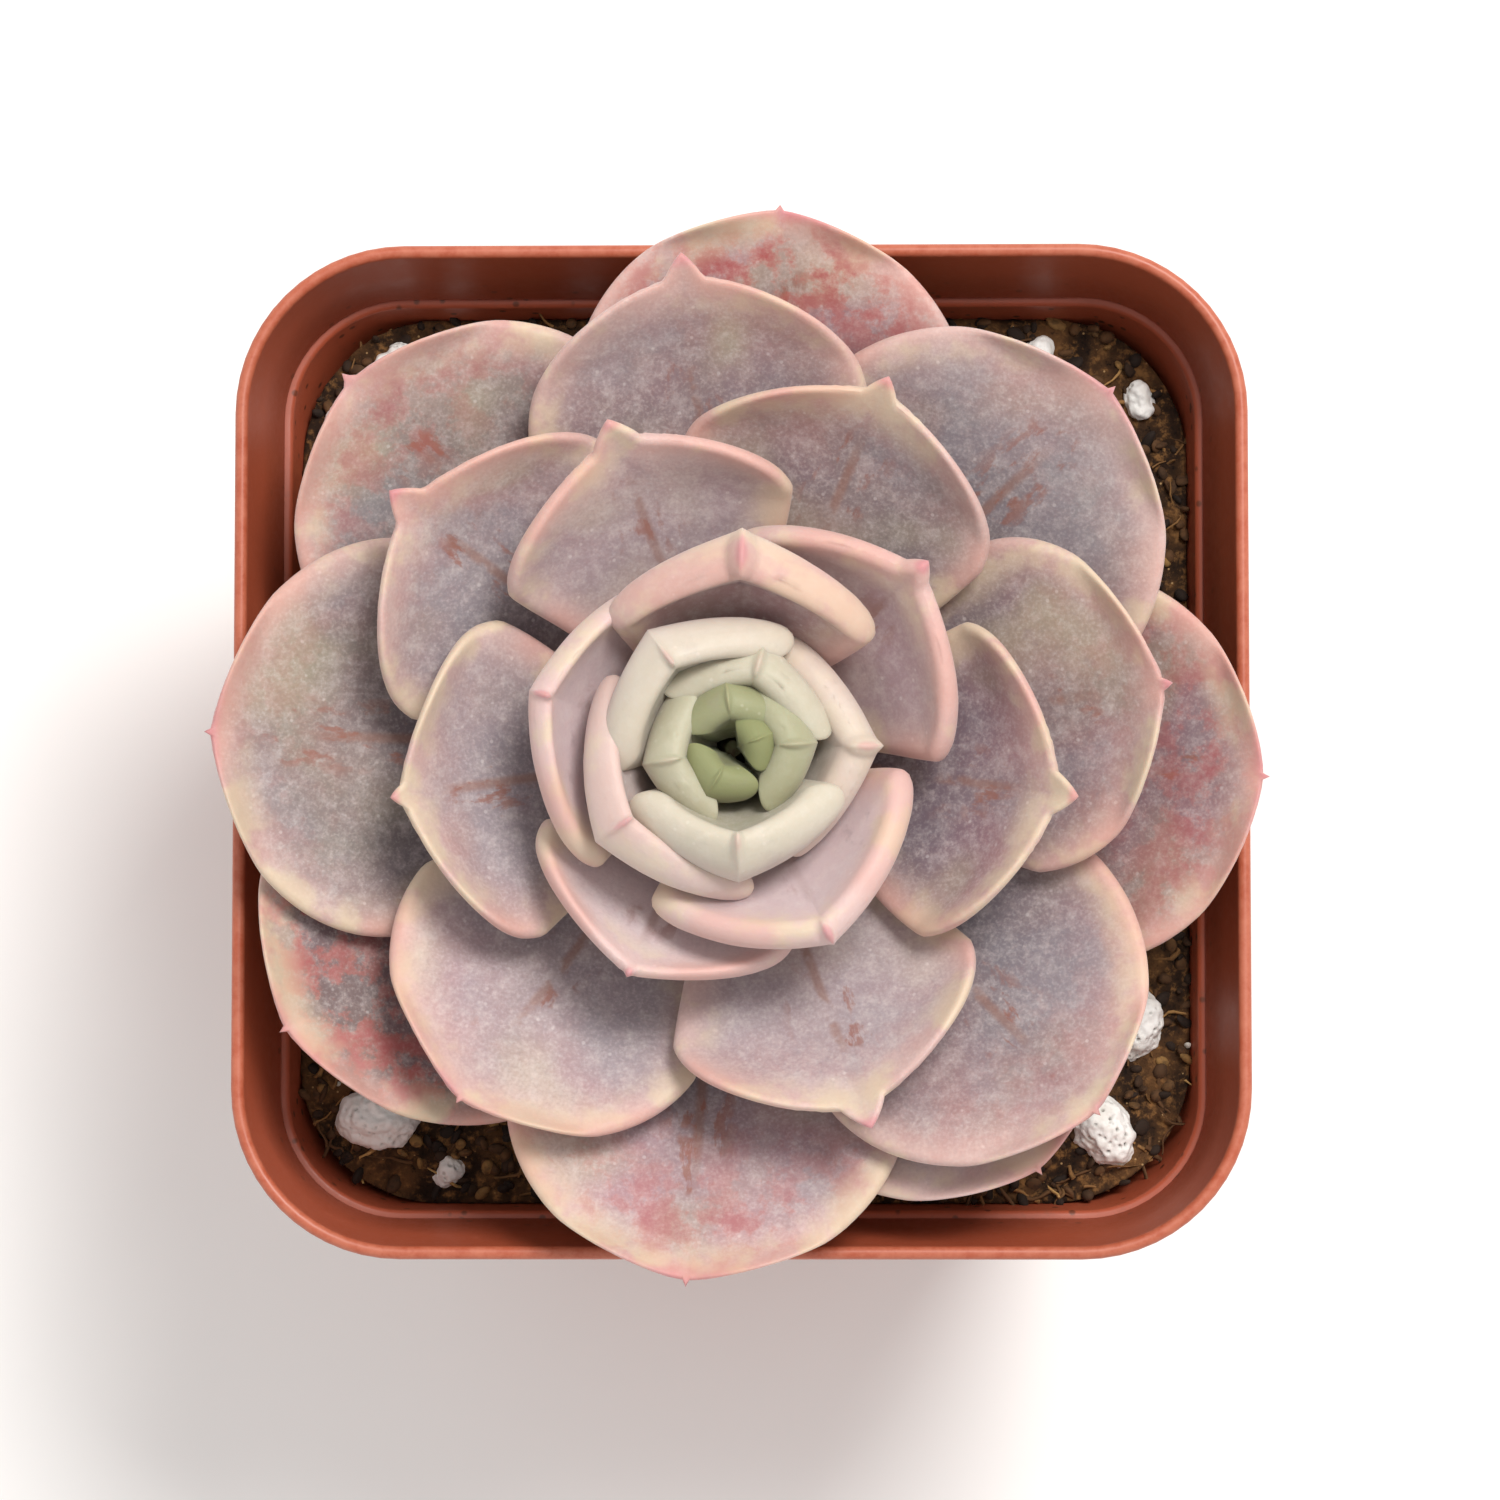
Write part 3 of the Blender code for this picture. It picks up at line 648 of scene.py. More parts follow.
def build_soil(settings):
    """The root ball: a crumbly top with litter strewn on it, over tapering sides and a bottom."""
    half = inner_half(SOIL_Z) - SOIL_GAP
    corner = corner_at(SOIL_Z, half)
    step = 2 * half / SOIL_CELLS
    index, points, inside = {}, [], []
    for i in range(SOIL_CELLS + 1):
        for j in range(SOIL_CELLS + 1):
            x, y, kept = into_soil_outline(i * step - half, j * step - half, half, corner)
            index[i, j] = len(points)
            points.append((x, y, crumbly_height(x, y)))
            inside.append(kept)
    faces = []
    for i in range(SOIL_CELLS):
        for j in range(SOIL_CELLS):
            corners = (index[i, j], index[i + 1, j], index[i + 1, j + 1], index[i, j + 1])
            if any(inside[c] for c in corners):
                faces.append(corners)
    ground = new_object("soil_surface", points, faces, soil_material())
    bm = bmesh.new()
    bm.from_mesh(ground.data)
    bmesh.ops.remove_doubles(bm, verts=bm.verts, dist=0.004 * MM)
    bmesh.ops.delete(bm, geom=[v for v in bm.verts if not v.link_faces], context="VERTS")
    bm.to_mesh(ground.data)

    # Bits lie on the top; the sides and the bottom close the soil below it.
    crumb = litter_material("peat_crumb", "#23160d", "#5f4023", "#94703f")
    fibre = litter_material("coir_fibre", "#5a3c20", "#9a7040", "#c39a5e")
    grain = litter_material("perlite_grain", "#cfc9bb", "#e9e5da", "#f7f5ef")
    area = (2 * half) ** 2
    strew(ground, "soil_crumbs", "crumb", settings.crumbs / area, 1.5 * MM, 0.7 * MM, 4, crumb)
    strew(ground, "soil_fibres", "fibre", settings.fibres / area, 3.4 * MM, 2.2 * MM, 9, fibre)
    strew(ground, "soil_grains", "grain", settings.grains / area, 0.8 * MM, 0.3 * MM, 14, grain)

    bottom = FLOOR_THICK + SOIL_GAP
    share = (inner_half(bottom) - SOIL_GAP - 1.3 * MM) / half
    edge = [e for e in bm.edges if e.is_boundary]
    grown = bmesh.ops.extrude_edge_only(bm, edges=edge)["geom"]
    for vertex in (g for g in grown if isinstance(g, bmesh.types.BMVert)):
        vertex.co = Vector((vertex.co.x * share, vertex.co.y * share, bottom))
    bmesh.ops.edgeloop_fill(bm, edges=[e for e in bm.edges if e.is_boundary])
    bmesh.ops.recalc_face_normals(bm, faces=bm.faces)
    bm.to_mesh(ground.data)
    bm.free()
    ground.data.shade_smooth()
    ground.name = "potting_soil"
    finish_piece(ground, "potting_soil", "soil")


# ---------------------------------------------------------------- pumice


def pumice_material():
    """Pumice: a white volcanic glass foam, dull and chalky, with open pits that hold dirt."""
    material, tree = new_material("white_pumice")
    place = millimetres(tree)
    pits = node(tree, "ShaderNodeTexVoronoi", {"Vector": place, "Scale": 1 / 0.55})
    powder, stain = (
        node(
            tree,
            "ShaderNodeTexNoise",
            {"Vector": place, "Scale": 1 / size, "Detail": detail, "Roughness": rough},
        ).outputs["Fac"]
        for size, detail, rough in ((0.5, 5.0, 0.7), (1.8, 3.0, 0.5))
    )
    dirt = node(tree, "ShaderNodeAttribute", attribute_name="pit").outputs["Fac"]
    colour = layered(
        tree,
        linear("#fbfaf6"),
        (
            ("#e2ded4", 0.4, (powder, 0.45, 0.75)),
            ("#cdc0a8", 0.25, (stain, 0.52, 0.72)),
            ("#8d8678", 0.15, (pits.outputs["Distance"], 0.22, 0.08)),
            ("#4f473d", 0.9, (dirt,)),
        ),
    )
    finish_material(tree, colour, 0.9, ((powder, 0.6, 0.12),), Specular_IOR_Level=0.3)
    return material


def build_pumice():
    """Each chunk starts from its CAD node, is rounded, and gets knobbles and pits."""
    material = pumice_material()
    for name in sorted(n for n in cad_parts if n.startswith("pumice_")):
        number = int(name[-2:])
        bm = bmesh.new()
        bm.from_mesh(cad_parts[name].data)
        bmesh.ops.remove_doubles(bm, verts=bm.verts, dist=0.01 * MM)
        mesh = bpy.data.meshes.new(name)
        bm.to_mesh(mesh)
        bm.free()
        rough = bpy.data.objects.new(name + "_rough", mesh)
        bpy.context.scene.collection.objects.link(rough)
        smoothing = rough.modifiers.new("round", "SUBSURF")
        smoothing.levels = smoothing.render_levels = 4
        chunk = mesh_from(rough, name + "_chunk", material)
        low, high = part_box(name)
        centre = (low + high) / 2
        pitting = 0.9 if number in PITTED else 0.45
        depth = chunk.data.attributes.new("pit", "FLOAT", "POINT")
        for vertex, normal in zip(chunk.data.vertices, [v.normal.copy() for v in chunk.data.vertices]):
            spot = (vertex.co - centre) / MM + Vector((number * 7.0, 0, 0))
            knobbles = 0.30 * noise.noise(spot * 0.9) + 0.12 * noise.noise(spot * 2.6)
            cell = noise.voronoi(spot * 1.9)[0][0]
            pit = max(0.0, 1 - cell / 0.30) * (noise.noise(spot * 0.8 + Vector((9, 9, 9))) > -0.25)
            vertex.co += normal * MM * (knobbles + 0.10 - 0.22 * pitting * min(pit * 1.6, 1.0))
            depth.data[vertex.index].value = min(pit * 1.5, 1.0) * pitting
        chunk.data.shade_smooth()
        finish_piece(chunk, "pumice", name)


# ---------------------------------------------------------------- levels of the rosette


def level_point(level, share):
    """(radius, height above the lowest foot) on a level, at shares of its length, as arrays."""
    level, share = np.broadcast_arrays(np.asarray(level, float), np.asarray(share, float))
    numbers, *columns = LEVELS.T
    reach, rise, first, last = (np.interp(level, numbers, column) for column in columns)
    foot_z = (level - 1) * LEVEL_STEP
    foot = np.stack((stem_radius(foot_z) + CLEARANCE, foot_z), -1)
    tip = np.stack((reach * ROSETTE_RADIUS, rise * ROSETTE_RISE), -1)
    pull = 0.36 * np.linalg.norm(tip - foot, axis=-1)[..., None]
    first, last = np.radians(first), np.radians(last)
    near = foot + pull * np.stack((np.cos(first), np.sin(first)), -1)
    far = tip - pull * np.stack((np.cos(last), np.sin(last)), -1)
    t = share[..., None]
    rest = 1 - t
    return foot * rest**3 + near * 3 * t * rest**2 + far * 3 * t**2 * rest + tip * t**3


def stem_radius(height):
    """Radius of the tapering stem at heights above the lowest leaf's foot."""
    share = np.clip(height / (LEVEL_STEP * (LEVEL_COUNT + 1)), 0, 1)
    return STEM_RADIUS + (STEM_TIP_RADIUS - STEM_RADIUS) * share


def level_normal(level, share):
    """The direction, across a level, that points up and inwards."""
    ahead = np.minimum(share + 0.01, 1.0)
    along = level_point(level, ahead) - level_point(level, ahead - 0.02)
    across = np.stack((-along[..., 1], along[..., 0]), -1)
    return across / np.linalg.norm(across, axis=-1, keepdims=True)


def level_spacing(level, share):
    """Distance from a level to the next, across them."""
    step = level_point(level + 0.5, share) - level_point(level - 0.5, share)
    return np.maximum((step * level_normal(level, share)).sum(-1), 0.1 * MM)


def smooth_step(value, low, high):
    """From 0 at low to 1 at high, level at both ends. Low may be the greater of the two."""
    t = np.clip((value - low) / (high - low), 0.0, 1.0)
    return t * t * (3 - 2 * t)


def curled_in(radius, height):
    """How far a place in the rosette's heart is drawn to the axis, where the leaves' tips meet."""
    out = radius / ROSETTE_RADIUS
    high = smooth_step(height / ROSETTE_RISE, *CURL_HEIGHTS)
    curled = 1 - CURL * high * smooth_step(out, *CURL_RADII)
    return curled * (1 - CLOSING * high * smooth_step(out, *CLOSING_RADII))


def on_axis(radius, turn, height):
    """Places at distances and directions from the stem's axis, which leans."""
    x = CROWN_X + LEAN_X * height + radius * np.cos(turn)
    y = CROWN_Y + LEAN_Y * height + radius * np.sin(turn)
    return np.stack((x, y, CROWN_Z + height), -1)


# ---------------------------------------------------------------- leaves


def youth(leaf):
    """From 0 for the outer leaves to 1 for the heart's, which are thick and stand folded."""
    return float(np.clip((leaf - 16) / 8, 0, 1))


def leaf_level(leaf, along):
    """The level that a leaf lies on. Its tip may lean to another."""
    return leaf + 1 + LEAVES[leaf].lean * np.maximum(along - 0.35, 0.0) ** 2 / 0.42


def leaf_length(leaf):
    """Length of a leaf's level, near enough for the size of its point."""
    return 1.06 * (LEAVES[leaf].reach * MM + 0.4 * ROSETTE_RISE * leaf / LEVEL_COUNT)


def leaf_outline(leaf, along):
    """Half-width at shares of a leaf's length: narrow foot, broad round end, and a point on it."""
    broad, point = LEAVES[leaf].half_width * MM, LEAVES[leaf].point * MM
    foot = min(2.2 * MM, 0.5 * broad)
    widest = 0.70
    end = 1 - point / leaf_length(leaf)
    t = np.minimum(along / widest, 1.0)
    body = foot + (broad - foot) * (1.18 * t**1.25 - 0.18 * t**3.5)
    t = np.clip((along - widest) / (end - widest), 0.0, 1.0)
    # The young leaves of the heart end in a pointed arch.
    arch = 0.32 * youth(leaf)
    body = np.where(along < widest, body, broad * (1 - t ** (2.3 - arch)) ** (0.55 + arch))
    behind = np.maximum(1 - along, 0.0) * leaf_length(leaf)
    slope = 0.45 + 0.35 * min(point / (1.5 * MM), 1.3)
    wedge = slope * behind * np.maximum(1 - behind / (3.2 * point), 0.0)
    return np.hypot(body, wedge)


def half_angle(leaf, along, share):
    """Angle that a leaf takes up around the stem, to one side of its middle."""
    radius = level_point(leaf_level(leaf, along), share)[..., 0]
    return np.minimum(leaf_outline(leaf, along) / radius, GREATEST_HALF_ANGLE)


def tip_share(leaf):
    """The share of its level that a leaf takes up, from its reach."""
    shares = np.arange(60, 101) / 100
    far = np.nonzero(level_point(leaf_level(leaf, 1.0), shares)[:, 0] >= LEAVES[leaf].reach * MM)[0]
    return shares[far[0]] if len(far) else 1.0


def lens(across):
    """Thickness of a leaf's section, as a share, from 1 at its middle to 0 at its edges."""
    return np.sqrt(np.maximum(1 - np.abs(across) ** 2.4, 0.0))


def room_for(leaf, along, tips, thickness):
    """Half the thickness that a leaf may have along it, from the leaves that pass it."""
    share = along * tips[leaf]
    level = leaf_level(leaf, along)
    spacing = level_spacing(level, share)
    own = half_angle(leaf, along, share)
    room = np.full(len(along), thickness)
    for other in range(LEVEL_COUNT):
        if other == leaf:
            continue
        there = np.minimum(share / tips[other], 1.0)
        near = (np.clip(there + d, 0.0, 1.0) for d in (-0.06, 0.0, 0.06))
        theirs = np.max([half_angle(other, t, share) for t in near], axis=0)
        apart = abs(LEAVES[other].direction - LEAVES[leaf].direction) % 360
        apart = math.radians(min(apart, 360 - apart))
        passes = (share <= tips[other] + 0.06) & (own + theirs >= apart + 0.04)
        levels = np.abs(leaf_level(other, there) - level)
        limit = np.maximum(0.5 * (levels * spacing - CLEARANCE), 0.12 * MM)
        start = np.maximum((apart - theirs) / own, 0.0)
        end = np.minimum((apart + theirs) / own, 1.0)
        for i in range(7):
            across = start + (end - start) * i / 6
            both = lens(across) + lens(np.minimum(np.abs(apart - across * own) / theirs, 1.0))
            allowed = np.where(both > 0.02, limit * 2 / np.maximum(both, 0.02), thickness)
            room = np.where(passes, np.minimum(room, allowed), room)
    return room


def leaf_skins(leaf, tips, settings):
    """The two skins of a leaf as grids of points, with what its finish needs to know of each.

    A row of a grid runs from one edge over the rib to the other edge. Towards the tip the rows
    fan out, so that they cross the edge squarely all the way around.
    """
    young = youth(leaf)
    small = min(1.0, 0.60 + 0.40 * LEAVES[leaf].half_width / 9.0)
    point = LEAVES[leaf].point * MM

    dense = 1 - (1 - np.linspace(0, 1, 320)) ** 2.0
    spine = level_point(leaf_level(leaf, dense), dense * tips[leaf])
    length = np.concatenate(([0], np.cumsum(np.linalg.norm(np.diff(spine, axis=0), axis=1))))
    width = half_angle(leaf, dense, dense * tips[leaf]) * spine[:, 0]
    # The edge wanders a little, on each side in its own way.
    sides = []
    for side in (-1, 1):
        wander = [noise.noise(Vector((a * 2.2 + leaf * 3.7, 5.0 * side, leaf * 1.3))) for a in dense]
        sides.append(side * width * (1 + EDGE_WANDER * np.array(wander)))
    outline = np.concatenate([np.stack((side, length), -1) for side in sides])

    steps = np.hypot(np.diff(width), np.diff(length))
    around = np.concatenate(([0], np.cumsum(steps)))
    turns = np.linspace(0, 1, LEAF_ROWS + 1)
    at_edge = np.interp(turns * around[-1], around, dense)
    at_rib = 0.78 * (1 - (1 - turns) ** 1.3)
    inset = np.linspace(0, 1, LEAF_COLUMNS + 1) ** 2.0
    halves = []
    for side in sides:
        lateral = np.interp(at_edge, dense, side)[:, None] * (1 - inset)
        halves.append((lateral, at_edge[:, None] * (1 - inset) + at_rib[:, None] * inset))
    lateral, along = (
        np.concatenate((left, right[:, -2::-1]), axis=1) for left, right in zip(*halves)
    )
    back = np.interp(along, dense, length)
    flat = np.stack((lateral, back), -1)
    edge = np.sqrt(((flat[:, :, None, :] - outline[None, None]) ** 2).sum(-1)).min(2)
    edge[:, 0] = edge[:, -1] = 0.0

    coarse = np.linspace(0, 1, 18)
    full = 0.5 * settings.leaf_thickness * (1 + 0.65 * young)
    slim = 0.28 * (1 - young)
    shape = 1 - slim + slim * np.sin(math.pi * np.minimum(coarse / 0.9, 1.0))
    shape *= 1 - (0.62 - 0.50 * young) * np.maximum(coarse - 0.55, 0.0) ** 1.5 / 0.3
    pressed = 1 + 1.3 * young + 7 * float(np.clip((leaf - 26) / 3, 0, 1))
    room = room_for(leaf, coarse, tips, 2 * full) * pressed
    middle = np.interp(along, coarse, np.minimum(full * small * shape, room))
    bead = np.minimum(settings.margin_thickness * (1 + 1.2 * young) / 2, 0.85 * middle)
    round_off = np.sqrt(np.maximum(1 - (1 - np.minimum(edge / bead, 1.0)) ** 2, 0.0))
    inside = np.clip((edge - bead) / (0.7 * max(width)), 0, 1)
    swell = (middle - bead) * (1 - (1 - inside) ** 2)
    # The upper side is dished inside a raised margin.
    dish = np.clip((edge - 0.6 * MM) / (6.0 * MM), 0, 1)
    dish = settings.dish * dish**2 * (3 - 2 * dish) * (1 - 0.7 * young)
    lower = bead * round_off + swell
    upper = lower - np.minimum(dish * np.clip(along / 0.25, 0, 1), 0.9 * lower)

    # A leaf isn't flat: it rolls a little and its surface waves. Its end turns up and is pinched
    # to a fold below its point.
    free = np.clip((along - 0.25) / 0.45, 0, 1)
    roll = 0.7 * MM * noise.noise(Vector((leaf * 2.1, 0.5, 0.5))) * lateral / max(width)
    waves = [
        [noise.noise(Vector((x / (6 * MM), y / (8 * MM), leaf * 5.1))) for x, y in row] for row in flat
    ]
    near_tip = np.clip(1 - (length[-1] - back) / (2.6 * point + 1.5 * MM), 0, 1) ** 1.5
    pinch = 0.55 * (1 - young) * (np.hypot(lateral, 0.5 * MM) - 0.5 * MM)
    lift = (roll + settings.waviness * np.array(waves)) * free * small
    lift = (1 - 0.9 * young) * (lift + near_tip * (0.35 * point + 0.2 * MM + pinch))

    level, share = leaf_level(leaf, along), along * tips[leaf]
    middle_line = level_point(level, share)
    radius = middle_line[..., 0]
    turn = math.radians(LEAVES[leaf].direction) + lateral / radius
    # Seen along the stem, a folded leaf is two straight sides instead of an arc.
    bend = np.minimum(np.abs(lateral / radius), math.radians(75))
    straight = 1 / (np.cos(bend) + np.sin(bend) * math.tan(FOLD))
    inwards = 1 - 0.55 * young * np.clip((along - 0.3) / 0.5, 0, 1) * (1 - straight)
    blend = np.minimum(along / 0.3, 1.0)[..., None]
    skins = []
    for offset in (upper + lift, lift - lower):
        on_stem = level_point(level + offset / level_spacing(level, share), share)
        through = middle_line + level_normal(level, share) * offset[..., None]
        spot = on_stem * (1 - blend) + through * blend
        # Nothing passes through the axis, where the youngest leaves meet.
        radius_there = spot[..., 0] * inwards * curled_in(spot[..., 0], spot[..., 1])
        skins.append(on_axis(np.maximum(radius_there, 0.04 * MM), turn, spot[..., 1]))
    return skins, {"along": along, "edge": edge / MM, "lateral": lateral / MM, "length": back / MM}


def build_leaf(leaf, tips, settings, material):
    """One leaf: its two skins, closed at the foot, with what the material reads of it."""
    (top, bottom), facts = leaf_skins(leaf, tips, settings)
    rows, across = facts["edge"].shape
    rib = across // 2
    face = np.arange(rows * across).reshape(rows, across)
    back = face + rows * across
    for index in (face, back):
        # The last row runs from the tip down the rib, so its two halves are one.
        index[-1, rib + 1 :] = index[-1, rib - 1 :: -1]
    back[:, 0], back[:, -1] = face[:, 0], face[:, -1]
    quads = []
    for index, order in ((face, (0, 1, 2, 3)), (back, (3, 2, 1, 0))):
        corners = (index[:-1, :-1], index[:-1, 1:], index[1:, 1:], index[1:, :-1])
        quads.append(np.stack([corners[i].ravel() for i in order], -1))
    faces = np.concatenate(quads).tolist()
    for column in range(across - 1):
        foot = [back[0, column], back[0, column + 1], face[0, column + 1], face[0, column]]
        faces.append([int(i) for i in dict.fromkeys(foot)])
    points = np.concatenate((top.reshape(-1, 3), bottom.reshape(-1, 3)))
    used, renumbered = np.unique([i for f in faces for i in f], return_inverse=True)
    renumbered = iter(renumbered.tolist())
    faces = [[next(renumbered) for _ in f] for f in faces]
    obj = new_object(f"leaf_{leaf + 1:02d}_skin", points[used], faces, material)

    both = {name: np.concatenate((grid.ravel(), grid.ravel()))[used] for name, grid in facts.items()}
    # From 0 on the back to 1 on the face, and a half along the edge between them
    depth = 0.5 * np.minimum(facts["edge"].ravel() / 2.5, 1.0)
    count = len(used)
    floats = {
        "along": both["along"],
        "edge": both["edge"],
        "upper": np.concatenate((0.5 + depth, 0.5 - depth))[used],
        "age": np.full(count, leaf / (LEVEL_COUNT - 1)),
    }
    for name, value in floats.items():
        attribute = obj.data.attributes.new(name, "FLOAT", "POINT")
        attribute.data.foreach_set("value", value.astype(np.float32))
    vectors = {
        "skin": (both["lateral"], both["length"], np.full(count, leaf * 9.7)),
        "traits": [np.full(count, getattr(LEAVES[leaf], t)) for t in ("pink", "blotched", "pale")],
    }
    for name, value in vectors.items():
        attribute = obj.data.attributes.new(name, "FLOAT_VECTOR", "POINT")
        attribute.data.foreach_set("vector", np.stack(value, -1).astype(np.float32).ravel())
    bm = bmesh.new()
    bm.from_mesh(obj.data)
    bmesh.ops.recalc_face_normals(bm, faces=bm.faces)
    bm.to_mesh(obj.data)
    bm.free()
    finish_piece(obj, "leaf_skin", f"leaf_{leaf + 1:02d}")


def leaf_material(settings):
    """Succulent leaf skin under a bloom of powdery wax.

    The flesh is a dull grey-green that strong light has turned mauve and pink. The wax makes it
    matt and pale, thicker in some places than others, and rubbed off in spots. The thick margin is
    peach or cream, the point is rosy, and old leaves have red blotches and rusty streaks. Light and
    shade are painted in too: painted shade towards the feet of the old leaves, along their ribs, on
    leaves that lie in shadow and on the inner faces of the young leaves, and painted highlight on lit
    leaves and on the young leaves' backs.
    """
    material, tree = new_material("waxy_leaf_skin")
    place = millimetres(tree)
    along, edge, upper, age = (
        node(tree, "ShaderNodeAttribute", attribute_name=name).outputs["Fac"]
        for name in ("along", "edge", "upper", "age")
    )
    skin = node(tree, "ShaderNodeAttribute", attribute_name="skin").outputs["Vector"]
    traits = node(tree, "ShaderNodeAttribute", attribute_name="traits").outputs["Vector"]
    pink, blotched, pale = node(tree, "ShaderNodeSeparateXYZ", {0: traits}).outputs
    lateral = node(tree, "ShaderNodeSeparateXYZ", {0: skin}).outputs["X"]
    from_rib = node(tree, "ShaderNodeMath", {0: lateral}, operation="ABSOLUTE").outputs[0]

    # Grain sizes in millimetres, octaves and roughness of each noise
    drift, mottle, blots, rubbed, bloom, grain = (
        node(
            tree,
            "ShaderNodeTexNoise",
            {"Vector": place, "Scale": 1 / size, "Detail": detail, "Roughness": rough},
        ).outputs["Fac"]
        for size, detail, rough in (
            (10.0, 1.5, 0.5),
            (5.0, 4.0, 0.6),
            (2.4, 6.0, 0.7),
            (3.0, 5.0, 0.65),
            (1.1, 6.0, 0.75),
            (0.22, 2.0, 0.5),
        )
    )
    # Streaks run along the leaf, about half a millimetre wide and several long.
    stretched = node(
        tree, "ShaderNodeVectorMath", {0: skin, 1: (1.0, 0.38, 1.0)}, operation="MULTIPLY"
    ).outputs[0]
    streaks = node(
        tree, "ShaderNodeTexNoise", {"Vector": stretched, "Scale": 0.8, "Detail": 5.0, "Roughness": 0.65}
    ).outputs["Fac"]
    specks = node(tree, "ShaderNodeTexVoronoi", {"Vector": place, "Scale": 1 / 1.3}).outputs["Distance"]

    # Where a leaf is pink all over, the mottling only thins it.
    uneven = node(
        tree, "ShaderNodeMath", {0: mottle, 1: 1.2, 2: -0.6}, operation="MULTIPLY_ADD"
    ).outputs[0]
    blush = node(tree, "ShaderNodeMath", {0: pink, 1: uneven}, operation="ADD", use_clamp=True)

    old = (age, 0.75, 0.45)
    young = (age, 0.68, 0.80)
    heart = (age, 0.80, 0.97)
    colour = layered(
        tree,
        linear(settings.green_code),
        (
            (settings.mauve_code, 1.0, (blush.outputs[0],)),
            ("#85888f", 0.60, (drift, 0.50, 0.62), old),
            ("#b1a98c", 0.60, (drift, 0.50, 0.40), (edge, 9.0, 3.0), old),
            ("#c19b95", 0.50, (edge, 5.5, 0.5)),
            # Painted shade: darker towards the foot of the old leaves, where the leaves above overlap
            # and shadow them.
            ("#5a5862", 0.85, (along, 0.92, 0.50), (drift, 0.26, 0.50), old),
            # Painted shade: a darker band along the rib of the old leaves, where the dished upper side
            # lies in shade.
            ("#7a6c6e", 0.35, (from_rib, 2.6, 0.4), (along, 0.5, 0.7), old),
            # A pale trait below 0 darkens a leaf: partly its own darker skin and partly painted shade on
            # leaves that lie in shadow.
            ("#5e474b", 0.90, (pale, 0.0, -1.0)),
            # A pale trait above 0 lightens a leaf: partly young waxy paleness and partly painted
            # highlight on lit leaves.
            (settings.pale_code, 0.85, (pale, 0.0, 1.0)),
            ("#b3ae98", 0.70, young),
            # Painted shade on the inner faces of the young leaves.
            ("#8d8a70", 0.45, (upper, 0.60, 0.95), young),
            ("#77794f", 0.88, heart),
            ("#d8cdc9", 0.34, (bloom, 0.40, 0.74), (age, 1.0, 0.8)),
            ("#86747a", 0.35, (rubbed, 0.42, 0.28)),
            ("#e6dcd8", 0.16, (grain, 0.46, 0.76), old),
            ("#6c5f64", 0.16, (grain, 0.50, 0.26), old),
            ("#efe7e4", 0.22, (specks, 0.12, 0.05)),
            ("#8a6355", 0.60, (from_rib, 0.5, 0.1), (along, 0.86, 0.70), (mottle, 0.42, 0.50), old),
            (
                "#8c5a4c",
                0.80,
                (streaks, 0.51, 0.60),
                (from_rib, 3.4, 0.6),
                (along, 0.45, 0.62),
                (edge, 2.5, 4.5),
                (mottle, 0.48, 0.54),
                old,
            ),
            ("#8f3348", 0.80, (blots, 0.48, 0.64), (along, 0.70, 0.92), (blotched,)),
            ("#c0604e", 0.35, (blots, 0.44, 0.54), (along, 0.60, 0.85), (blotched,)),
            (settings.margin_code, 0.50, (edge, 3.0, 0.0), (age, 0.85, 0.65)),
            ("#d4c7a4", 0.55, (edge, 3.4, 0.2), (mottle, 0.46, 0.60), (age, 0.85, 0.65)),
            ("#cf9385", 0.40, (edge, 1.9, 0.2), (drift, 0.56, 0.44), (age, 0.80, 0.60)),
            ("#d6cfbc", 0.45, (edge, 2.0, 0.2), (age, 1.0, 0.84), young),
            ("#8d9462", 0.45, (edge, 1.2, 0.3), heart),
            ("#c06f7c", 0.60, (along, 0.962, 0.992), (age, 0.95, 0.6)),
            ("#c99a9c", 0.40, (upper, 0.45, 0.05), (age, 0.62, 0.50)),
            # Painted highlight on the outer backs of the young leaves.
            ("#dccbc8", 0.45, (upper, 0.55, 0.15), (age, 0.50, 0.62), (age, 0.90, 0.76)),
        ),
    )
    roughness = node(
        tree,
        "ShaderNodeMapRange",
        {"Value": rubbed, "From Min": 0.3, "From Max": 0.7, "To Min": 0.46, "To Max": 0.66},
    )
    # Light goes a millimetre or so into the flesh, red furthest.
    finish_material(
        tree,
        colour,
        roughness.outputs["Result"],
        ((grain, 0.25, 0.03), (bloom, 0.25, 0.12)),
        Subsurface_Weight=0.22,
        Subsurface_Radius=(1.0, 0.55, 0.40),
        Subsurface_Scale=0.9 * MM,
        IOR=1.42,
        Sheen_Weight=0.12,
        Sheen_Roughness=0.5,
    )
    return material


def build_leaves(settings):
    """All leaves, in one material."""
    material = leaf_material(settings)
    tips = [tip_share(leaf) for leaf in range(LEVEL_COUNT)]
    for leaf in range(LEVEL_COUNT):
        build_leaf(leaf, tips, settings, material)


# ---------------------------------------------------------------- stem


def stem_material():
    """Young succulent stem: green-brown, smooth and fleshy, corky where old leaves fell."""
    material, tree = new_material("fleshy_stem")
    place = millimetres(tree)
    cork = node(
        tree, "ShaderNodeTexNoise", {"Vector": place, "Scale": 1 / 0.9, "Detail": 6.0, "Roughness": 0.7}
    ).outputs["Fac"]
    colour = layered(
        tree,
        linear("#8b8a62"),
        (
            ("#7a6348", 1.0, (cork, 0.42, 0.62)),
            ("#a38c6c", 1.0, (cork, 0.60, 0.74)),
        ),
    )
    finish_material(tree, colour, 0.62, ((cork, 0.6, 0.2),))
    return material


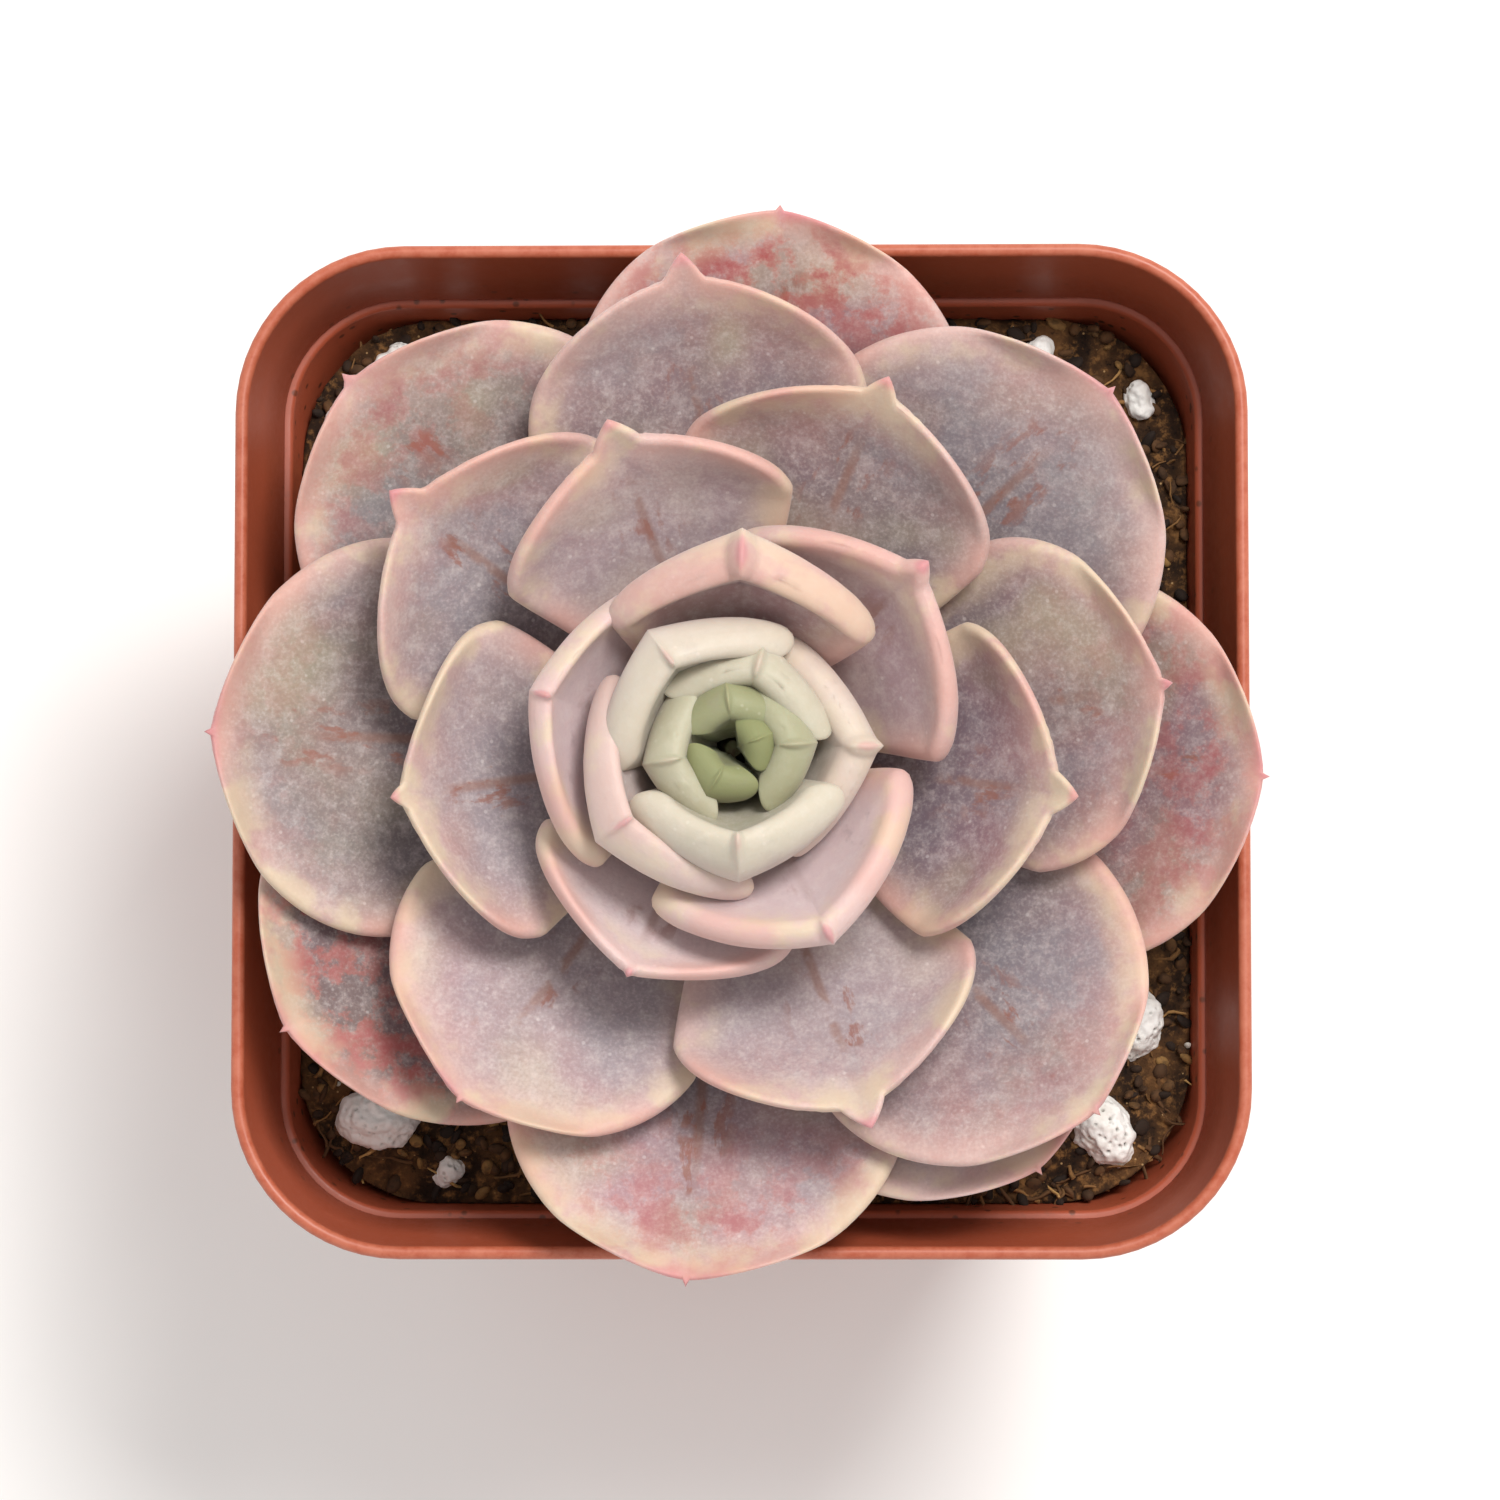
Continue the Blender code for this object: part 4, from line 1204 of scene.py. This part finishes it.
def build_stem():
    """The stem with the low ridges that fallen leaves leave around it."""
    around, rows = 48, 90
    turn = np.linspace(0, 2 * math.pi, around, endpoint=False)
    low = STEM_LOW.z - CROWN_Z
    high = STEM_HIGH.z - CROWN_Z
    points = []
    for height in np.linspace(low, high, rows):
        scar = 0.16 * MM * (math.sin(height / (0.9 * MM) * math.pi) ** 6) * (height < 2 * MM)
        wobble = np.array(
            [noise.noise(Vector((math.cos(t), math.sin(t), height / (2 * MM)))) for t in turn]
        )
        radius = float(stem_radius(height)) + scar * (1 + wobble) - 0.05 * MM
        points.append(on_axis(radius + 0.12 * MM * wobble, turn, np.full(around, height)))
    points, faces = np.concatenate(points), tube_faces(rows, around)
    finish_piece(new_object("fleshy_stem", points, faces, stem_material()), "stem_skin", "stem")


# ---------------------------------------------------------------- stage


def floor_material(settings):
    """A seamless sheet of matt white card."""
    material, tree = new_material("white_card")
    fibres = node(
        tree, "ShaderNodeTexNoise", {"Vector": millimetres(tree), "Scale": 1 / 3.0, "Detail": 4.0}
    ).outputs["Fac"]
    colour = layered(tree, linear(settings.floor_code), (("#e6e4e0", 0.06, (fibres,)),))
    finish_material(tree, colour, 0.9)
    return material


def softbox(name, place, size, power, colour):
    """A square area light that faces the pot's lip."""
    light = bpy.data.lights.new(name, "AREA")
    light.shape = "SQUARE"
    light.size = size
    light.energy = power
    light.color = colour
    obj = bpy.data.objects.new(name, light)
    obj.location = place
    obj.rotation_euler = (Vector((0, 0, RIM_Z)) - Vector(place)).to_track_quat("-Z", "Y").to_euler()
    bpy.context.scene.collection.objects.link(obj)


def build_stage(settings):
    """The floor, the room, one soft window light and the camera."""
    points = [(FLOOR_HALF * x, FLOOR_HALF * y, 0) for x, y in ((-1, -1), (1, -1), (1, 1), (-1, 1))]
    floor = new_object("floor", points, [(0, 1, 2, 3)], floor_material(settings), smooth=False)

    scene = bpy.context.scene
    scene.view_settings.view_transform = "Standard"
    world = bpy.data.worlds.new("soft_white_room")
    world.use_nodes = True
    world.node_tree.nodes["Background"].inputs["Color"].default_value = (1.0, 0.995, 0.99, 1.0)
    world.node_tree.nodes["Background"].inputs["Strength"].default_value = settings.room_light
    scene.world = world
    softbox("window_light", WINDOW_PLACE, WINDOW_SIZE, settings.key_power, (1.0, 0.985, 0.96))

    # The camera looks down from just in front of the pot, square to the rosette.
    camera = bpy.data.cameras.new("camera")
    distance = settings.camera_height
    camera.sensor_width = SENSOR_MM
    camera.lens = SENSOR_MM * distance / settings.frame_width
    camera.clip_start, camera.clip_end = 0.01, 10.0
    eye = Vector((settings.camera_right, -settings.camera_front, RIM_Z + distance))
    aim = Vector((settings.aim_right, settings.aim_back, RIM_Z))
    obj = bpy.data.objects.new("camera", camera)
    # Its picture is upright: the right of the view is the right of the pot.
    back = (eye - aim).normalized()
    right = Vector((0, 1, 0)).cross(back).normalized()
    obj.matrix_world = Matrix((right, back.cross(right), back)).transposed().to_4x4()
    obj.location = eye
    scene.collection.objects.link(obj)
    scene.camera = obj


# ---------------------------------------------------------------- settings


class PotSettings(bpy.types.PropertyGroup):
    colour_code: StringProperty(
        name="Plastic", description="Colour of the pot, as an sRGB hex code", default="#b4573a"
    )


class SoilSettings(bpy.types.PropertyGroup):
    crumbs: IntProperty(name="Crumbs", description="Loose crumbs of peat", default=2600, min=0)
    fibres: IntProperty(name="Fibres", description="Loose coir fibres", default=900, min=0)
    grains: IntProperty(name="Grains", description="Small perlite grains", default=90, min=0)


class RosetteSettings(bpy.types.PropertyGroup):
    leaf_thickness: FloatProperty(
        name="Leaf thickness",
        description="Thickness in the middle of a full-sized leaf",
        default=2.4 * MM,
        unit="LENGTH",
    )
    margin_thickness: FloatProperty(
        name="Margin thickness",
        description="Thickness of the round margin",
        default=1.25 * MM,
        unit="LENGTH",
    )
    dish: FloatProperty(
        name="Dish",
        description="How deep the upper side lies below its margin",
        default=0.3 * MM,
        unit="LENGTH",
    )
    waviness: FloatProperty(
        name="Waviness",
        description="Height of the waves in a leaf's surface",
        default=0.3 * MM,
        unit="LENGTH",
    )
    green_code: StringProperty(
        name="Green", description="Skin in shade, as an sRGB hex code", default="#95897c"
    )
    mauve_code: StringProperty(
        name="Mauve", description="Sunned skin, as an sRGB hex code", default="#a2767e"
    )
    pale_code: StringProperty(
        name="Pale", description="Young waxy skin, as an sRGB hex code", default="#cdbabc"
    )
    margin_code: StringProperty(
        name="Margin", description="Colour of the margin, as an sRGB hex code", default="#dab5aa"
    )


class StageSettings(bpy.types.PropertyGroup):
    floor_code: StringProperty(
        name="Floor", description="Colour of the floor, as an sRGB hex code", default="#f7f6f4"
    )
    room_light: FloatProperty(
        name="Room light", description="Strength of the even light", default=0.75, min=0.0
    )
    key_power: FloatProperty(
        name="Key light", description="Power of the window light in watts", default=5.7, min=0.0
    )
    camera_height: FloatProperty(
        name="Camera height", description="Above the lip", default=0.340, unit="LENGTH"
    )
    camera_right: FloatProperty(
        name="Camera right", description="Right of the pot's middle", default=0.008, unit="LENGTH"
    )
    camera_front: FloatProperty(
        name="Camera front", description="In front of the pot's middle", default=0.024, unit="LENGTH"
    )
    aim_right: FloatProperty(
        name="Aim right", description="Where the camera looks", default=0.0006, unit="LENGTH"
    )
    aim_back: FloatProperty(
        name="Aim back", description="Where the camera looks", default=-0.0001, unit="LENGTH"
    )
    frame_width: FloatProperty(
        name="Frame width", description="Width of the view at the lip", default=0.0932, unit="LENGTH"
    )


# ---------------------------------------------------------------- operators and panel


class SUCCULENT_OT_pot(bpy.types.Operator):
    """Add the nursery pot"""

    bl_idname = "succulent.pot"
    bl_label = "Pot"

    def execute(self, context):
        build_pot(context.scene.succulent_pot)
        return {"FINISHED"}


class SUCCULENT_OT_soil(bpy.types.Operator):
    """Add the potting soil with its crumbs, fibres and grains"""

    bl_idname = "succulent.soil"
    bl_label = "Soil"

    def execute(self, context):
        build_soil(context.scene.succulent_soil)
        return {"FINISHED"}


class SUCCULENT_OT_pumice(bpy.types.Operator):
    """Add the pumice chunks"""

    bl_idname = "succulent.pumice"
    bl_label = "Pumice"

    def execute(self, context):
        build_pumice()
        return {"FINISHED"}


class SUCCULENT_OT_stem(bpy.types.Operator):
    """Add the stem"""

    bl_idname = "succulent.stem"
    bl_label = "Stem"

    def execute(self, context):
        build_stem()
        return {"FINISHED"}


class SUCCULENT_OT_leaves(bpy.types.Operator):
    """Add the rosette of leaves"""

    bl_idname = "succulent.leaves"
    bl_label = "Leaves"

    def execute(self, context):
        build_leaves(context.scene.succulent_rosette)
        return {"FINISHED"}


class SUCCULENT_OT_stage(bpy.types.Operator):
    """Add the floor, the lights and the camera"""

    bl_idname = "succulent.stage"
    bl_label = "Stage"

    def execute(self, context):
        build_stage(context.scene.succulent_stage)
        return {"FINISHED"}


OPERATORS = (
    SUCCULENT_OT_pot,
    SUCCULENT_OT_soil,
    SUCCULENT_OT_pumice,
    SUCCULENT_OT_stem,
    SUCCULENT_OT_leaves,
    SUCCULENT_OT_stage,
)
SETTINGS = {
    "succulent_pot": PotSettings,
    "succulent_soil": SoilSettings,
    "succulent_rosette": RosetteSettings,
    "succulent_stage": StageSettings,
}


class SUCCULENT_PT_panel(bpy.types.Panel):
    """Sizes, colours and pieces of the plant"""

    bl_label = "Potted succulent"
    bl_idname = "SUCCULENT_PT_panel"
    bl_space_type = "VIEW_3D"
    bl_region_type = "UI"
    bl_category = "Succulent"

    def draw(self, context):
        for name, group in SETTINGS.items():
            box = self.layout.box()
            for prop in group.__annotations__:
                box.prop(getattr(context.scene, name), prop)
        for operator in OPERATORS:
            self.layout.operator(operator.bl_idname)


def register():
    """Adds the classes, and the settings to the scene."""
    for cls in (*SETTINGS.values(), *OPERATORS, SUCCULENT_PT_panel):
        bpy.utils.register_class(cls)
    for name, group in SETTINGS.items():
        setattr(bpy.types.Scene, name, PointerProperty(type=group))


def unregister():
    """Removes what register adds."""
    for name in SETTINGS:
        delattr(bpy.types.Scene, name)
    for cls in reversed((*SETTINGS.values(), *OPERATORS, SUCCULENT_PT_panel)):
        bpy.utils.unregister_class(cls)


def main():
    """Builds the whole scene."""
    register()
    for operator in OPERATORS:
        group, name = operator.bl_idname.split(".")
        getattr(getattr(bpy.ops, group), name)()


if __name__ == "__main__":
    main()
